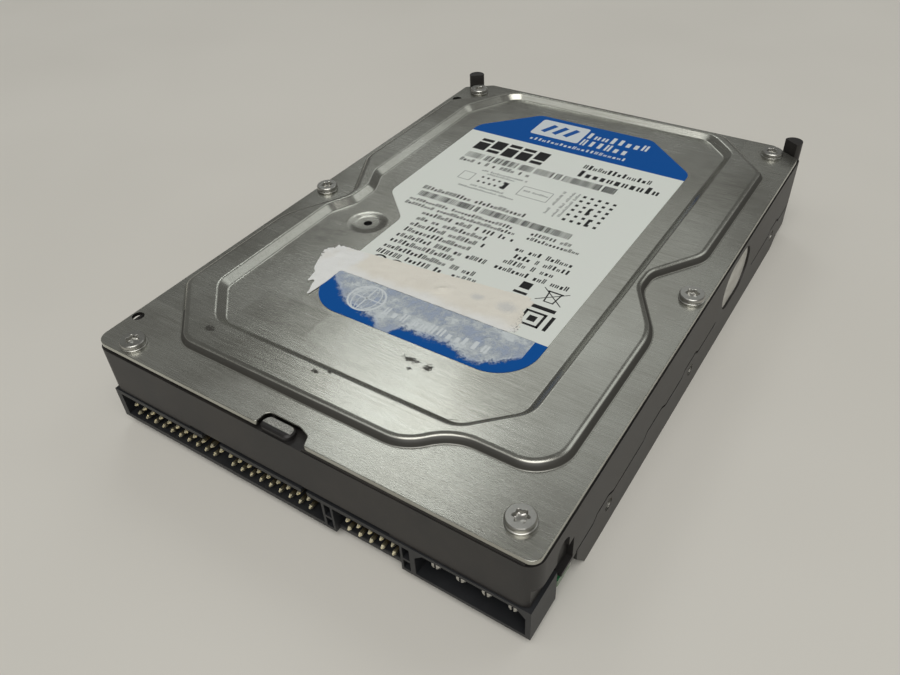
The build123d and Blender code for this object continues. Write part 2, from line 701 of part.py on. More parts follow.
def main():
    os.makedirs("parts", exist_ok=True)
    packages = [
        flat_package(-14.0, -30.0, 20.0, 20.0, 1.3, 18, 18),
        flat_package(16.0, -14.0, 10.0, 10.0, 1.1, 8, 8),
        flat_package(-24.0, -3.0, 18.0, 8.0, 1.0, 0, 7),
    ]
    singles = {
        "base_casting": make_casting(),
        "top_cover": make_cover(),
        "cover_gasket": make_gasket(),
        "cover_label": slab(label_outline(), cover_top, cover_top + 0.1),
        "torn_sticker": slab(torn_outline(), cover_top + 0.1, cover_top + 0.2),
        "breather_filter": rod(breather_at[0], breather_at[1], 19.9, cover_under - 0.5, 5.0),
        "side_window_seal": Pos(half_width - window_depth, 0, 0) * extrude(
            Plane.YZ * Pos(window_y, window_z) * RectangleRounded(window_long - 0.4, window_high - 0.4, 5.4),
            amount=0.12, dir=(1, 0, 0)),
        "connector_housing": make_housing(),
        "circuit_board": make_board(),
        "board_insulator": make_insulator(),
        "controller_chip": packages[0][0],
        "motor_driver_chip": packages[1][0],
        "memory_chip": packages[2][0],
        "head_connector": make_head_connector(),
        "bearing_sleeve": make_sleeve(),
        "bearing_cap": rod(0, spindle_y, 4.6, 5.4, 3.6),
        "stator_core": make_stator(),
        "spindle_shaft": rod(0, spindle_y, 5.6, 17.4, 2.0),
        "spindle_hub": make_hub(),
        "rotor_magnet": ring(0, spindle_y, 7.6, 12.6, 15.18, 14.0),
        "platter": ring(0, spindle_y, platter_under, platter_top, platter_radius, platter_bore),
        "platter_clamp": make_clamp(),
        "pivot_shaft": make_pivot_shaft(),
        "actuator_arm": make_arm(),
        "voice_coil": make_coil(),
        "coil_frame": make_coil_frame(),
        "upper_suspension": suspension(True),
        "lower_suspension": suspension(False),
        "lower_magnet_plate": make_yoke(floor_top, 12.2),
        "upper_magnet_plate": make_yoke(19.6, 21.4),
        "lower_magnet": make_magnet(12.2, 14.2),
        "upper_magnet": make_magnet(17.6, 19.6),
        "latch_pin": make_latch_pin(),
        "park_latch": make_latch(),
        "load_ramp": make_ramp(),
        "air_filter": make_filter(),
        "flex_bracket": make_flex_bracket(),
        "flex_cable": make_flex_cable(),
    }
    groups = {
        "cover_screws": make_cover_screws(),
        "data_pins": make_data_pins(),
        "jumper_pins": make_jumper_pins(),
        "power_pins": make_power_pins(),
        "board_screws": make_board_screws(),
        "chip_leads": make_chip_leads(packages),
        "clock_crystal": make_crystal(),
        "board_small_parts": make_small_parts(),
        "motor_contacts": make_motor_contacts(),
        "stator_coils": make_stator_coils(),
        "clamp_screws": make_clamp_screws(),
        "pivot_bearings": make_pivot_bearings(),
        "slider_heads": [head(True), head(False)],
        "magnet_plate_posts": make_yoke_posts(),
        "magnet_plate_screws": make_yoke_screws(),
        "crash_stops": make_crash_stops(),
    }
    for node, shape in singles.items():
        save(shape, node)
    for node, solids in groups.items():
        save(Compound(children=[Part(solid.wrapped) if not isinstance(solid, Part) else solid
                                for solid in solids]), node)
    print("nodes", len(singles) + len(groups))


main()
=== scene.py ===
import json
import math
import random
import bpy
from mathutils import Matrix, Vector, geometry, noise


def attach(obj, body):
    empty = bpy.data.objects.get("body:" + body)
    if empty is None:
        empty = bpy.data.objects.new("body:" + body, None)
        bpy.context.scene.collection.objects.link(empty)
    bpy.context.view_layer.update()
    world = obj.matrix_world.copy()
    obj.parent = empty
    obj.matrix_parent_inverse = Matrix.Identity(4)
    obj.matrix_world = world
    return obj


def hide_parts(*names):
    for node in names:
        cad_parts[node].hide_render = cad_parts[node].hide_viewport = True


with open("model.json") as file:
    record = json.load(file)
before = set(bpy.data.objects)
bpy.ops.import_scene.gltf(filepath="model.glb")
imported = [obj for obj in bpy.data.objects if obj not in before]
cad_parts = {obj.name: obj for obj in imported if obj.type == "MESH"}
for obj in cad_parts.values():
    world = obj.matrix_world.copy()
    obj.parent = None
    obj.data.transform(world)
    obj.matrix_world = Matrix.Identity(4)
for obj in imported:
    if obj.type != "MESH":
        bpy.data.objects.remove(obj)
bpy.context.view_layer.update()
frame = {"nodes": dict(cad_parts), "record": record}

mm = 0.001
nodes = frame["nodes"]


# node trees: one class wraps a socket, one method adds any node

class Wire:
    def __init__(self, tree, socket):
        self.tree = tree
        self.socket = socket

    def sum(self, operation, left, right):
        return self.tree.add("ShaderNodeMath", {"operation": operation}, {0: left, 1: right})

    def __add__(self, other):
        return self.sum("ADD", self, other)

    def __radd__(self, other):
        return self.sum("ADD", other, self)

    def __sub__(self, other):
        return self.sum("SUBTRACT", self, other)

    def __rsub__(self, other):
        return self.sum("SUBTRACT", other, self)

    def __mul__(self, other):
        return self.sum("MULTIPLY", self, other)

    def __rmul__(self, other):
        return self.sum("MULTIPLY", other, self)

    def __truediv__(self, other):
        return self.sum("DIVIDE", self, other)

    def __rtruediv__(self, other):
        return self.sum("DIVIDE", other, self)

    def __pow__(self, other):
        return self.sum("POWER", self, other)

    def __gt__(self, other):
        return self.sum("GREATER_THAN", self, other)

    def __lt__(self, other):
        return self.sum("LESS_THAN", self, other)

    def __abs__(self):
        return self.sum("ABSOLUTE", self, 0)

    def least(self, other):
        return self.sum("MINIMUM", self, other)

    def most(self, other):
        return self.sum("MAXIMUM", self, other)

    def out(self, name):
        return Wire(self.tree, self.socket.node.outputs[name])


class Tree:
    def __init__(self, nodeTree):
        self.nodeTree = nodeTree

    def add(self, kind, settings=None, sockets=None, out=0):
        node = self.nodeTree.nodes.new(kind)
        for name, value in (settings or {}).items():
            if name == "stops":
                ramp = node.color_ramp
                while len(ramp.elements) < len(value):
                    ramp.elements.new(0.5)
                for element, (place, colour) in zip(ramp.elements, value):
                    element.position = place
                    element.color = colour
            else:
                setattr(node, name, value)
        for name, value in (sockets or {}).items():
            for one in (value if isinstance(value, list) else [value]):
                if isinstance(one, Wire):
                    self.nodeTree.links.new(one.socket, node.inputs[name])
                else:
                    node.inputs[name].default_value = one
        return Wire(self, node.outputs[out]) if node.outputs else node


class Finish(Tree):
    # a material whose patterns are laid out in millimetres on Object coordinates
    def __init__(self, name):
        self.material = bpy.data.materials.new(name)
        self.material.use_nodes = True
        self.material.node_tree.nodes.clear()
        super().__init__(self.material.node_tree)
        place = self.add("ShaderNodeTexCoord").out("Object")
        self.place = self.add("ShaderNodeVectorMath", {"operation": "SCALE"}, {0: place, "Scale": 1 / mm})
        parts = self.add("ShaderNodeSeparateXYZ", sockets={0: self.place})
        self.x, self.y, self.z = parts.out("X"), parts.out("Y"), parts.out("Z")

    def grain(self, size, stretch=(1, 1, 1), detail=3.0, rough=0.55, shift=(0, 0, 0)):
        # noise with a feature size in millimetres, drawn out along an axis by stretch
        spread = tuple(1 / (size * s) for s in stretch)
        place = self.add("ShaderNodeMapping", sockets={
            "Vector": self.place, "Location": shift, "Scale": spread})
        return self.add("ShaderNodeTexNoise", sockets={"Vector": place, "Scale": 1.0, "Detail": detail,
                                                       "Roughness": rough})

    def cells(self, size):
        # distance from the middle of the nearest of many scattered cells
        place = self.add("ShaderNodeMapping", sockets={"Vector": self.place, "Scale": (1 / size,) * 3})
        return self.add("ShaderNodeTexVoronoi", sockets={"Vector": place, "Scale": 1.0})

    def reach(self, x, y, across=1.0, along=1.0):
        # distance from a vertical axis through (x, y), in units of across and along
        return (((self.x - x) / across) ** 2 + ((self.y - y) / along) ** 2) ** 0.5

    def step(self, value, low, high, start=0.0, end=1.0):
        return self.add("ShaderNodeMapRange", {"interpolation_type": "SMOOTHSTEP"},
                        {"Value": value, "From Min": low, "From Max": high, "To Min": start, "To Max": end})

    def within(self, value, low, high, soft=0.05):
        return self.step(value, low - soft, low + soft) * (1 - self.step(value, high - soft, high + soft))

    def mix(self, share, first, second):
        return self.add("ShaderNodeMix", {"data_type": "RGBA"}, {0: share, 6: first, 7: second}, out=2)

    def bump(self, height, depth, base=None):
        sockets = {"Height": height, "Strength": 1.0, "Distance": depth * mm}
        if base:
            sockets["Normal"] = base
        return self.add("ShaderNodeBump", sockets=sockets)

    def finish(self, **sockets):
        named = {name.replace("_", " "): value for name, value in sockets.items()}
        surface = self.add("ShaderNodeBsdfPrincipled", sockets=named)
        self.add("ShaderNodeOutputMaterial", sockets={"Surface": surface})
        return self.material


def shade(red, green, blue):
    return (red, green, blue, 1.0)


# materials

brushed = {
    "dark": shade(0.355, 0.352, 0.312), "light": shade(0.52, 0.525, 0.478),
    "lineWidth": 0.14, "lineRun": 45, "lineDepth": 0.007, "scuff": shade(0.06, 0.055, 0.05),
    # centre, reach along X and reach along Y of each patch of dirt
    "scuffs": [(8.5, -45.4, 2.6, 0.9), (12.8, -45.8, 1.3, 1.2), (9.6, -47.6, 0.7, 0.5),
               (-4.0, -58.4, 1.4, 0.7), (-31.0, -59.5, 2.2, 1.2), (-1.5, -57.2, 0.8, 0.6)],
    # the ridge's outer foot carries painted shade between these heights, beyond this x or before this y
    "wallShadeHeight": (22.86, 24.02), "wallShadeFromX": 36.5, "wallShadeToY": -57.5, "wallShade": shade(0.03, 0.028, 0.024),
    # x, y and radius of the holes, painted dark below this height as shade inside them
    "pierced": [(-48.9, -63.2, 1.33), (-48.2, 59.5, 1.38), (-29.0, -10.2, 1.05)], "boreBelow": 22.76,
    "bore": shade(0.012, 0.011, 0.010),
    "oldSticker": (-31.0, -14.0, -51.0, -42.2), "oldStickerTone": shade(0.22, 0.21, 0.18),
    "bright": shade(0.68, 0.675, 0.63), "dull": shade(0.27, 0.25, 0.22), "stain": shade(0.20, 0.185, 0.16),
}


def brushedSteel():
    f = Finish("brushedSteel")
    lines = f.grain(brushed["lineWidth"], (brushed["lineRun"], 1, 1), 2.0)
    bands = f.grain(0.7, (50, 1, 1), 3.0, shift=(3, 7, 0))
    glints = f.grain(0.17, (26, 1, 1), 2.0, shift=(6, 3, 0))
    cloud = f.grain(34, detail=4.0, shift=(11, 2, 5))
    stain = f.grain(5.5, detail=5.0, rough=0.7, shift=(1, 9, 0))
    tone = f.mix(f.step(cloud, 0.35, 0.68), brushed["dark"], brushed["light"])
    tone = f.mix(f.step(lines, 0.3, 0.72) * 0.38, tone, brushed["bright"])
    tone = f.mix(f.step(bands, 0.5, 0.75) * 0.20, tone, brushed["dull"])
    tone = f.mix(f.step(stain, 0.62, 0.76) * 0.16, tone, brushed["stain"])
    x0, x1, y0, y1 = brushed["oldSticker"]
    ghost = f.within(f.x, x0, x1, 0.3) * f.within(f.y, y0, y1, 0.3)
    tone = f.mix(ghost * 0.22, tone, brushed["oldStickerTone"])
    dirt = 0.0
    speck = f.grain(0.45, detail=5.0, rough=0.75, shift=(2, 2, 9))
    for x, y, across, along in brushed["scuffs"]:
        dirt = (1 - f.step(f.reach(x, y, across, along) + (speck - 0.5) * 3.2, 0.45, 0.75)) + dirt
    tone = f.mix(dirt * 0.85, tone, brushed["scuff"])
    # painted shade on the ridge's outer wall: darker, less metallic and rougher
    low, high = brushed["wallShadeHeight"]
    fromX, toY = brushed["wallShadeFromX"], brushed["wallShadeToY"]
    sides = f.step(f.x, fromX, fromX + 0.2).most(1 - f.step(f.y, toY, toY + 0.2))
    wallShade = f.within(f.z, low, high, 0.10) * sides
    tone = f.mix(wallShade * 0.94, tone, brushed["wallShade"])
    # painted shade inside the pierced holes: near black and not metallic
    bore = 0.0
    for x, y, radius in brushed["pierced"]:
        bore = (f.reach(x, y) < radius) * (f.z < brushed["boreBelow"]) + bore
    tone = f.mix(bore, tone, brushed["bore"])
    rough = 0.14 + lines * 0.10 + glints * 0.05 + f.step(cloud, 0.3, 0.7) * 0.05
    rough = rough + bore * 0.4 + wallShade * 0.2 + dirt * 0.3
    normal = f.bump(lines + bands * 0.2 + glints * 0.4, brushed["lineDepth"])
    return f.finish(Base_Color=tone, Metallic=1 - bore.most(wallShade * 0.9), Roughness=rough.least(0.6),
                    Normal=normal)


coat = {
    "black": shade(0.013, 0.012, 0.012), "brown": shade(0.026, 0.023, 0.021),
    "dust": shade(0.35, 0.32, 0.29), "peel": 0.55, "peelDepth": 0.006,
    # tapped holes: y of each, and how deep under the surface the thread starts
    "holeRadius": 1.5, "sideHoles": (-45.0, -3.4, 56.6), "sideHoleHeight": 6.35, "sideHoleFrom": 50.7,
    "bottomHoles": (-32.22, 12.23), "bottomHoleX": 47.625, "bottomHoleFrom": 0.1,
    # bare locating pad: x range, y range and height of its face
    "pad": ((-5.6, 1.6), (-71.9, -70.2), 22.40),
    "metalDark": shade(0.34, 0.335, 0.31), "metalLight": shade(0.66, 0.65, 0.60),
}


def blackCoat():
    # electrocoat over the casting, bare in the tapped holes and on the locating pad
    f = Finish("blackCoat")
    peel = f.grain(coat["peel"], detail=2.0)
    skin = f.grain(14, detail=5.0)
    dust = f.grain(0.35, detail=2.0, shift=(4, 4, 4))
    tone = f.mix(f.step(skin, 0.35, 0.65), coat["black"], coat["brown"])
    tone = f.mix(f.step(dust, 0.68, 0.78) * 0.10, tone, coat["dust"])
    (x0, x1), (y0, y1), padHeight = coat["pad"]
    bare = f.within(f.x, x0, x1) * f.within(f.y, y0, y1, 0.1) * f.step(f.z, padHeight, padHeight + 0.06)
    for y in coat["sideHoles"]:
        reach = ((f.y - y) ** 2 + (f.z - coat["sideHoleHeight"]) ** 2) ** 0.5
        bare = bare.most((reach < coat["holeRadius"]) * (abs(f.x) < coat["sideHoleFrom"]))
    for y in coat["bottomHoles"]:
        reach = ((f.y - y) ** 2 + (abs(f.x) - coat["bottomHoleX"]) ** 2) ** 0.5
        bare = bare.most((reach < coat["holeRadius"]) * (f.z > coat["bottomHoleFrom"]))
    speckle = f.step(f.grain(0.22, detail=3.0, shift=(8, 1, 2)), 0.36, 0.66)
    metal = f.mix(speckle, coat["metalDark"], coat["metalLight"])
    tone = f.mix(bare, tone, metal)
    rough = (0.40 + skin * 0.12) * (1 - bare) + bare * 0.34
    height = peel * (1 - bare) + bare * speckle * 2.0
    return f.finish(Base_Color=tone, Metallic=bare, Roughness=rough, Normal=f.bump(height, coat["peelDepth"]))


labelInk = {
    "paper": shade(0.77, 0.81, 0.765), "blue": shade(0.001, 0.084, 0.35), "fibre": shade(0.72, 0.78, 0.81),
    "mottle": shade(0.78, 0.80, 0.77), "upperBandFrom": 43.8, "lowerBandTo": -29.1, "tornSide": 26.7,
    # how far torn fibres reach below the band's edge, in millimetres, at each x; never beyond the longest
    "tornReach": [(-22.9, 1.5), (-19.3, 4.7), (-14.9, 8.4), (-9.3, 9.7), (-5.0, 10.5), (-2.5, 13.0),
                  (-0.7, 14.0), (1.2, 9.7), (6.2, 9.9), (11.0, 9.3), (13.5, 9.4), (16.2, 11.2), (19.6, 11.6),
                  (22.9, 9.1), (26.6, 5.8)],
    "longest": 20,
}


def labelPaper():
    # white label with a blue band at each end; torn white fibres still cover most of the lower band
    f = Finish("labelPaper")
    mottle = f.grain(7, detail=4.0)
    white = f.mix(f.step(mottle, 0.3, 0.7) * 0.35, labelInk["paper"], labelInk["mottle"])
    lower = 1 - f.step(f.y, labelInk["lowerBandTo"] - 0.1, labelInk["lowerBandTo"])
    band = lower.most(f.step(f.y, labelInk["upperBandFrom"], labelInk["upperBandFrom"] + 0.1))
    tone = f.mix(band, white, labelInk["blue"])
    x0, x1 = labelInk["tornReach"][0][0], labelInk["tornReach"][-1][0]
    longest = labelInk["longest"]
    stops = [((x - x0) / (x1 - x0), shade(*[reach / longest] * 3)) for x, reach in labelInk["tornReach"]]
    reach = f.add("ShaderNodeValToRGB", {"stops": stops}, {0: (f.x - x0) / (x1 - x0)}) * longest
    fine = f.grain(0.30, detail=5.0, rough=0.75, shift=(5, 5, 0))
    wisps = f.grain(1.6, detail=6.0, rough=0.7, shift=(2, 6, 0))
    tufts = f.grain(5.5, detail=4.0, shift=(7, 1, 0))
    depth = labelInk["lowerBandTo"] - f.y + (wisps - 0.5) * 5 + (fine - 0.5) * 3.2
    cover = (1 - f.step(depth, reach - 1.3, reach + 0.5)) * lower * (f.x < labelInk["tornSide"])
    dense = f.step(tufts + (wisps - 0.5) * 0.8 + (fine - 0.5) * 0.5, 0.28, 0.66, 0.55, 1.0)
    fibre = cover * dense
    tone = f.mix(fibre, tone, labelInk["fibre"])
    rough = 0.50 + fibre * 0.4 + mottle * 0.05
    normal = f.bump(fibre * (wisps + fine), 0.25)
    return f.finish(Base_Color=tone, Roughness=rough, Normal=normal, Specular_IOR_Level=0.12)


tornTone = {
    "beige": shade(0.84, 0.81, 0.73), "white": shade(0.86, 0.87, 0.86), "smudge": shade(0.34, 0.40, 0.50),
    "speck": shade(0.05, 0.06, 0.07), "smudges": [(9.5, -22.6, 2.0, 1.4), (16.5, -22.6, 3.0, 2.2)],
}


def tornPaper():
    f = Finish("tornPaper")
    soft = f.grain(6, detail=5.0)
    fibres = f.grain(0.30, (3.5, 1, 1), 5.0, 0.7)
    fuzz = f.grain(0.5, detail=6.0, rough=0.75, shift=(3, 8, 0))
    tone = f.mix(f.step(f.x + (soft - 0.5) * 8, -22.0, -19.0), tornTone["white"], tornTone["beige"])
    tone = f.mix(1 - f.step(f.y + (soft - 0.5) * 4, -29.5, -25.5), tone, tornTone["white"])
    tone = f.mix(f.step(fibres, 0.5, 0.8) * 0.3, tone, shade(0.90, 0.89, 0.86))
    tone = f.mix(f.step(soft, 0.52, 0.7) * 0.3, tone, shade(0.74, 0.70, 0.62))
    for x, y, across, along in tornTone["smudges"]:
        near = f.reach(x, y, across, along) + (fuzz - 0.5) * 1.2
        tone = f.mix((1 - f.step(near, 0.2, 1.1)) * 0.3, tone, tornTone["smudge"])
    specks = f.step(f.x + (soft - 0.5) * 3, 20.0, 22.0) * f.step(fuzz, 0.50, 0.58)
    tone = f.mix(specks * 0.85, tone, tornTone["speck"])
    normal = f.bump(soft + fibres * 0.5 + fuzz, 0.14)
    return f.finish(Base_Color=tone, Roughness=0.82 + soft * 0.1, Normal=normal, Specular_IOR_Level=0.2)


def inkFinish(name, tone, worn):
    f = Finish(name)
    wear = f.grain(0.5, detail=4.0)
    shown = f.mix(f.step(wear, 0.60, 0.80) * 0.3, tone, worn)
    return f.finish(Base_Color=shown, Roughness=0.55 + wear * 0.1, Normal=f.bump(wear, 0.004),
                    Specular_IOR_Level=0.3)


def metalFinish(name, dark, light, rough, grainSize=0.3, stretch=(1, 1, 1), depth=0.002):
    f = Finish(name)
    fine = f.grain(grainSize, stretch, 3.0)
    wide = f.grain(5, detail=3.0, shift=(2, 2, 2))
    tone = f.mix(f.step(fine, 0.3, 0.7) * 0.6 + f.step(wide, 0.35, 0.65) * 0.4, dark, light)
    return f.finish(Base_Color=tone, Metallic=1.0, Roughness=rough + fine * 0.12, Normal=f.bump(fine, depth))


# the pale tip colour is a painted highlight; the two shaft tones are painted shade
goldTone = {"tipHighlightFrom": -72.9, "tipHighlightTo": -71.2, "tip": shade(1.0, 0.92, 0.66),
            "shadedShaft": shade(0.26, 0.19, 0.09), "shadedShaftPale": shade(0.34, 0.26, 0.13)}


def goldPin():
    # painted highlight at the tip, and painted shade along the shaft further in
    f = Finish("goldPin")
    fine = f.grain(0.2, detail=3.0)
    tip = 1 - f.step(f.y, goldTone["tipHighlightFrom"], goldTone["tipHighlightTo"])
    tone = f.mix(f.step(fine, 0.3, 0.7), goldTone["shadedShaft"], goldTone["shadedShaftPale"])
    tone = f.mix(tip, tone, goldTone["tip"])
    return f.finish(Base_Color=tone, Metallic=1.0, Roughness=0.38 - tip * 0.04 + fine * 0.08,
                    Normal=f.bump(fine, 0.002))


def plasticFinish(name, tone, tint, rough, depth=0.004, size=0.25):
    f = Finish(name)
    fine = f.grain(size, detail=3.0)
    wide = f.grain(8, detail=3.0, shift=(1, 2, 3))
    shown = f.mix(f.step(wide, 0.3, 0.7), tone, tint)
    return f.finish(Base_Color=shown, Roughness=rough + fine * 0.12, Normal=f.bump(fine, depth))


felt = {"ventShadeFrom": 21.2, "dark": shade(0.60, 0.60, 0.57), "pale": shade(0.83, 0.83, 0.80),
        "cap": shade(0.012, 0.012, 0.012)}


def clothFinish():
    # pale felt, painted black at the top as the shade seen down the breather hole
    f = Finish("filterFelt")
    fibre = f.grain(0.25, (4, 1, 1), 5.0, 0.7) + f.grain(0.25, (1, 4, 2), 5.0, 0.7, shift=(3, 1, 1))
    tone = f.mix(f.step(fibre, 0.7, 1.3), felt["dark"], felt["pale"])
    # painted shade: the top of the felt is black as seen down the breather hole
    tone = f.mix(f.step(f.z, felt["ventShadeFrom"], felt["ventShadeFrom"] + 0.1), tone, felt["cap"])
    return f.finish(Base_Color=tone, Roughness=0.95, Normal=f.bump(fibre, 0.06))


def sealFoil():
    f = Finish("sealFoil")
    crease = f.grain(4.5, (1, 1.6, 0.8), 3.0, 0.5)
    fine = f.grain(0.4, detail=3.0)
    tone = f.mix(f.step(crease, 0.35, 0.65), shade(0.50, 0.49, 0.45), shade(0.66, 0.65, 0.61))
    return f.finish(Base_Color=tone, Metallic=0.25, Roughness=0.42 + fine * 0.1, Normal=f.bump(crease, 0.25))


board = {"edge": (4.85, 6.35), "viaSpacing": 3.1, "viaRadius": 0.10, "padRadius": 0.17,
         "mask": shade(0.006, 0.085, 0.032), "paleMask": shade(0.010, 0.115, 0.045),
         "runs": shade(0.030, 0.21, 0.075), "pad": shade(0.62, 0.55, 0.36), "via": shade(0.02, 0.03, 0.02),
         "cutEdge": shade(0.12, 0.17, 0.08)}


def boardGreen():
    # solder mask with copper runs showing through as paler lines, and round vias
    f = Finish("boardGreen")
    runs = f.add("ShaderNodeTexBrick", {"offset": 0.37, "squash": 1.6},
                 {"Vector": f.place, "Scale": 0.42, "Color1": shade(0, 0, 0),
                  "Color2": shade(0.15, 0.15, 0.15), "Mortar": shade(1, 1, 1), "Mortar Size": 0.035,
                  "Mortar Smooth": 0.0})
    spots = f.cells(board["viaSpacing"])
    via = 1 - f.step(spots, board["viaRadius"], board["viaRadius"] + 0.03)
    ring = 1 - f.step(spots, board["padRadius"], board["padRadius"] + 0.03)
    mottle = f.grain(9, detail=4.0)
    tone = f.mix(f.step(mottle, 0.3, 0.7), board["mask"], board["paleMask"])
    tone = f.mix(runs * 0.75, tone, board["runs"])
    tone = f.mix(ring * 0.9, tone, board["pad"])
    tone = f.mix(via, tone, board["via"])
    edge = f.within(f.z, *board["edge"], 0.02)
    tone = f.mix(edge * 0.6, tone, board["cutEdge"])
    return f.finish(Base_Color=tone, Roughness=0.26 + mottle * 0.12, Normal=f.bump(runs * 0.6 + ring, 0.02),
                    Coat_Weight=0.3)


def woundCopper():
    f = Finish("woundCopper")
    turn = f.add("ShaderNodeTexWave", {"bands_direction": "Z"},
                 {"Vector": f.place, "Scale": 1.6, "Distortion": 0.6, "Detail": 2.0}, out=1)
    wide = f.grain(3, detail=3.0)
    tone = f.mix(turn, shade(0.30, 0.10, 0.035), shade(0.72, 0.33, 0.13))
    return f.finish(Base_Color=tone, Metallic=0.9, Roughness=0.3 + wide * 0.12, Normal=f.bump(turn, 0.06))


def laminations():
    f = Finish("laminations")
    layer = f.add("ShaderNodeTexWave", {"bands_direction": "Z", "wave_profile": "SAW"},
                  {"Vector": f.place, "Scale": 0.8, "Distortion": 0.0}, out=1)
    tone = f.mix(layer, shade(0.20, 0.19, 0.18), shade(0.46, 0.45, 0.44))
    return f.finish(Base_Color=tone, Metallic=1.0, Roughness=0.45 + layer * 0.1, Normal=f.bump(layer, 0.04))


spindle = {"x": 0.0, "y": 22.5}


def platterMirror():
    # faint rings round the spindle
    f = Finish("platterMirror")
    texture = f.add("ShaderNodeTexNoise", {"noise_dimensions": "1D"},
                    {"W": f.reach(spindle["x"], spindle["y"]), "Scale": 2.0, "Detail": 2.0})
    tone = f.mix(texture, shade(0.72, 0.73, 0.75), shade(0.80, 0.81, 0.82))
    return f.finish(Base_Color=tone, Metallic=1.0, Roughness=0.05 + texture * 0.04)


def paleFloor(dark, light):
    f = Finish("paleFloor")
    tint = f.grain(180, detail=3.0)
    tone = f.mix(f.step(tint, 0.3, 0.7), dark, light)
    return f.finish(Base_Color=tone, Roughness=0.7 + tint * 0.1)


print("materials")
steel = brushedSteel()
casting = blackCoat()
finishes = {
    "casting": casting, "cover_steel": steel, "label": labelPaper(), "torn_paper": tornPaper(),
    "gasket": plasticFinish("gasketFoam", shade(0.010, 0.010, 0.010), shade(0.018, 0.018, 0.018), 0.75,
                            0.03, 0.3),
    "screw_steel": metalFinish("screwSteel", shade(0.44, 0.435, 0.41), shade(0.52, 0.515, 0.485), 0.26,
                               depth=0.0005),
    "filter_cloth": clothFinish(), "seal_foil": sealFoil(),
    "socket_plastic": plasticFinish("socketPlastic", shade(0.012, 0.013, 0.015),
                                    shade(0.019, 0.020, 0.023), 0.42),
    "gold_pin": goldPin(),
    "tin_pin": metalFinish("tinPin", shade(0.50, 0.49, 0.46), shade(0.68, 0.67, 0.63), 0.25, 0.2),
    "board": boardGreen(),
    "insulator": plasticFinish("foamSheet", shade(0.02, 0.02, 0.02), shade(0.03, 0.03, 0.03), 0.8, 0.03, 0.4),
    "chip": plasticFinish("chipEpoxy", shade(0.016, 0.016, 0.017), shade(0.024, 0.024, 0.025), 0.5,
                          0.008, 0.12),
    "solder": metalFinish("solderTin", shade(0.52, 0.52, 0.50), shade(0.72, 0.72, 0.69), 0.30),
    "ceramic": plasticFinish("ceramicBody", shade(0.30, 0.22, 0.14), shade(0.38, 0.29, 0.19), 0.55),
    "bronze": metalFinish("bearingBronze", shade(0.42, 0.27, 0.11), shade(0.56, 0.38, 0.17), 0.35),
    "lamination": laminations(), "copper_wire": woundCopper(),
    "hub_metal": metalFinish("turnedAluminium", shade(0.60, 0.60, 0.60), shade(0.74, 0.74, 0.74), 0.24, 0.2),
    "mirror_disk": platterMirror(),
    "magnet": metalFinish("nickelMagnet", shade(0.50, 0.49, 0.46), shade(0.62, 0.61, 0.58), 0.18, 0.8),
    "plate_steel": metalFinish("platedSteel", shade(0.45, 0.45, 0.44), shade(0.60, 0.60, 0.59), 0.28, 0.5),
    "arm_metal": metalFinish("armAluminium", shade(0.60, 0.60, 0.59), shade(0.74, 0.74, 0.72), 0.30, 0.25,
                             (8, 1, 1)),
    "amber_plastic": plasticFinish("amberMoulding", shade(0.42, 0.21, 0.05), shade(0.52, 0.27, 0.07), 0.35),
    "dark_plastic": plasticFinish("darkMoulding", shade(0.02, 0.02, 0.02), shade(0.035, 0.035, 0.035), 0.5),
    "ramp_plastic": plasticFinish("rampAcetal", shade(0.66, 0.64, 0.58), shade(0.72, 0.70, 0.65), 0.4),
    "flex_film": plasticFinish("flexFilm", shade(0.40, 0.17, 0.03), shade(0.50, 0.23, 0.05), 0.3, 0.01, 0.5),
}
blackInk = inkFinish("blackInk", shade(0.012, 0.012, 0.013), shade(0.12, 0.13, 0.12))
whiteInk = inkFinish("whiteInk", shade(0.66, 0.71, 0.74), shade(0.40, 0.50, 0.62))
greyInk = inkFinish("greyInk", shade(0.22, 0.23, 0.23), shade(0.45, 0.47, 0.45))
blueInk = inkFinish("blueInk", labelInk["blue"], shade(0.03, 0.12, 0.36))

for part in frame["record"]["subparts"]:
    cadNode = nodes[part["node"]]
    cadNode.data.materials.clear()
    cadNode.data.materials.append(finishes[part["material_slot"]])


# outlines and meshes, all in millimetres until the mesh is made

def roundedPath(corners, spacing=0.5):
    # closed path through (x, y, radius) corners, each rounded by an arc
    path = []
    count = len(corners)
    for i, (x, y, radius) in enumerate(corners):
        here = Vector((x, y))
        back = (Vector(corners[i - 1][:2]) - here).normalized()
        ahead = (Vector(corners[(i + 1) % count][:2]) - here).normalized()
        half = back.angle(ahead) / 2
        reach = radius / math.tan(half)
        start, end = here + back * reach, here + ahead * reach
        centre = here + (back + ahead).normalized() * radius / math.sin(half)
        turn = (start - centre).angle_signed(end - centre)
        pieces = max(2, math.ceil(abs(turn) * radius / spacing))
        for k in range(pieces + 1):
            path.append(centre + Matrix.Rotation(-turn * k / pieces, 2) @ (start - centre))
    return path


def evenPath(path, count):
    # the same closed path with evenly spaced points
    lengths = [(path[i] - path[i - 1]).length for i in range(len(path))]
    total = sum(lengths)
    points = []
    i, walked = 1, 0.0
    closed = path + [path[0]]
    for k in range(count):
        target = total * k / count
        while walked + (closed[i] - closed[i - 1]).length < target:
            walked += (closed[i] - closed[i - 1]).length
            i += 1
        run = (closed[i] - closed[i - 1])
        share = (target - walked) / run.length if run.length > 1e-9 else 0.0
        points.append(closed[i - 1] + run * share)
    return points


def inset(loop, distances):
    # moves the points of an anticlockwise loop inwards along its normals
    moved = []
    for i, point in enumerate(loop):
        along = (loop[(i + 1) % len(loop)] - loop[i - 1]).normalized()
        moved.append(point + Vector((-along.y, along.x)) * distances[i])
    return moved


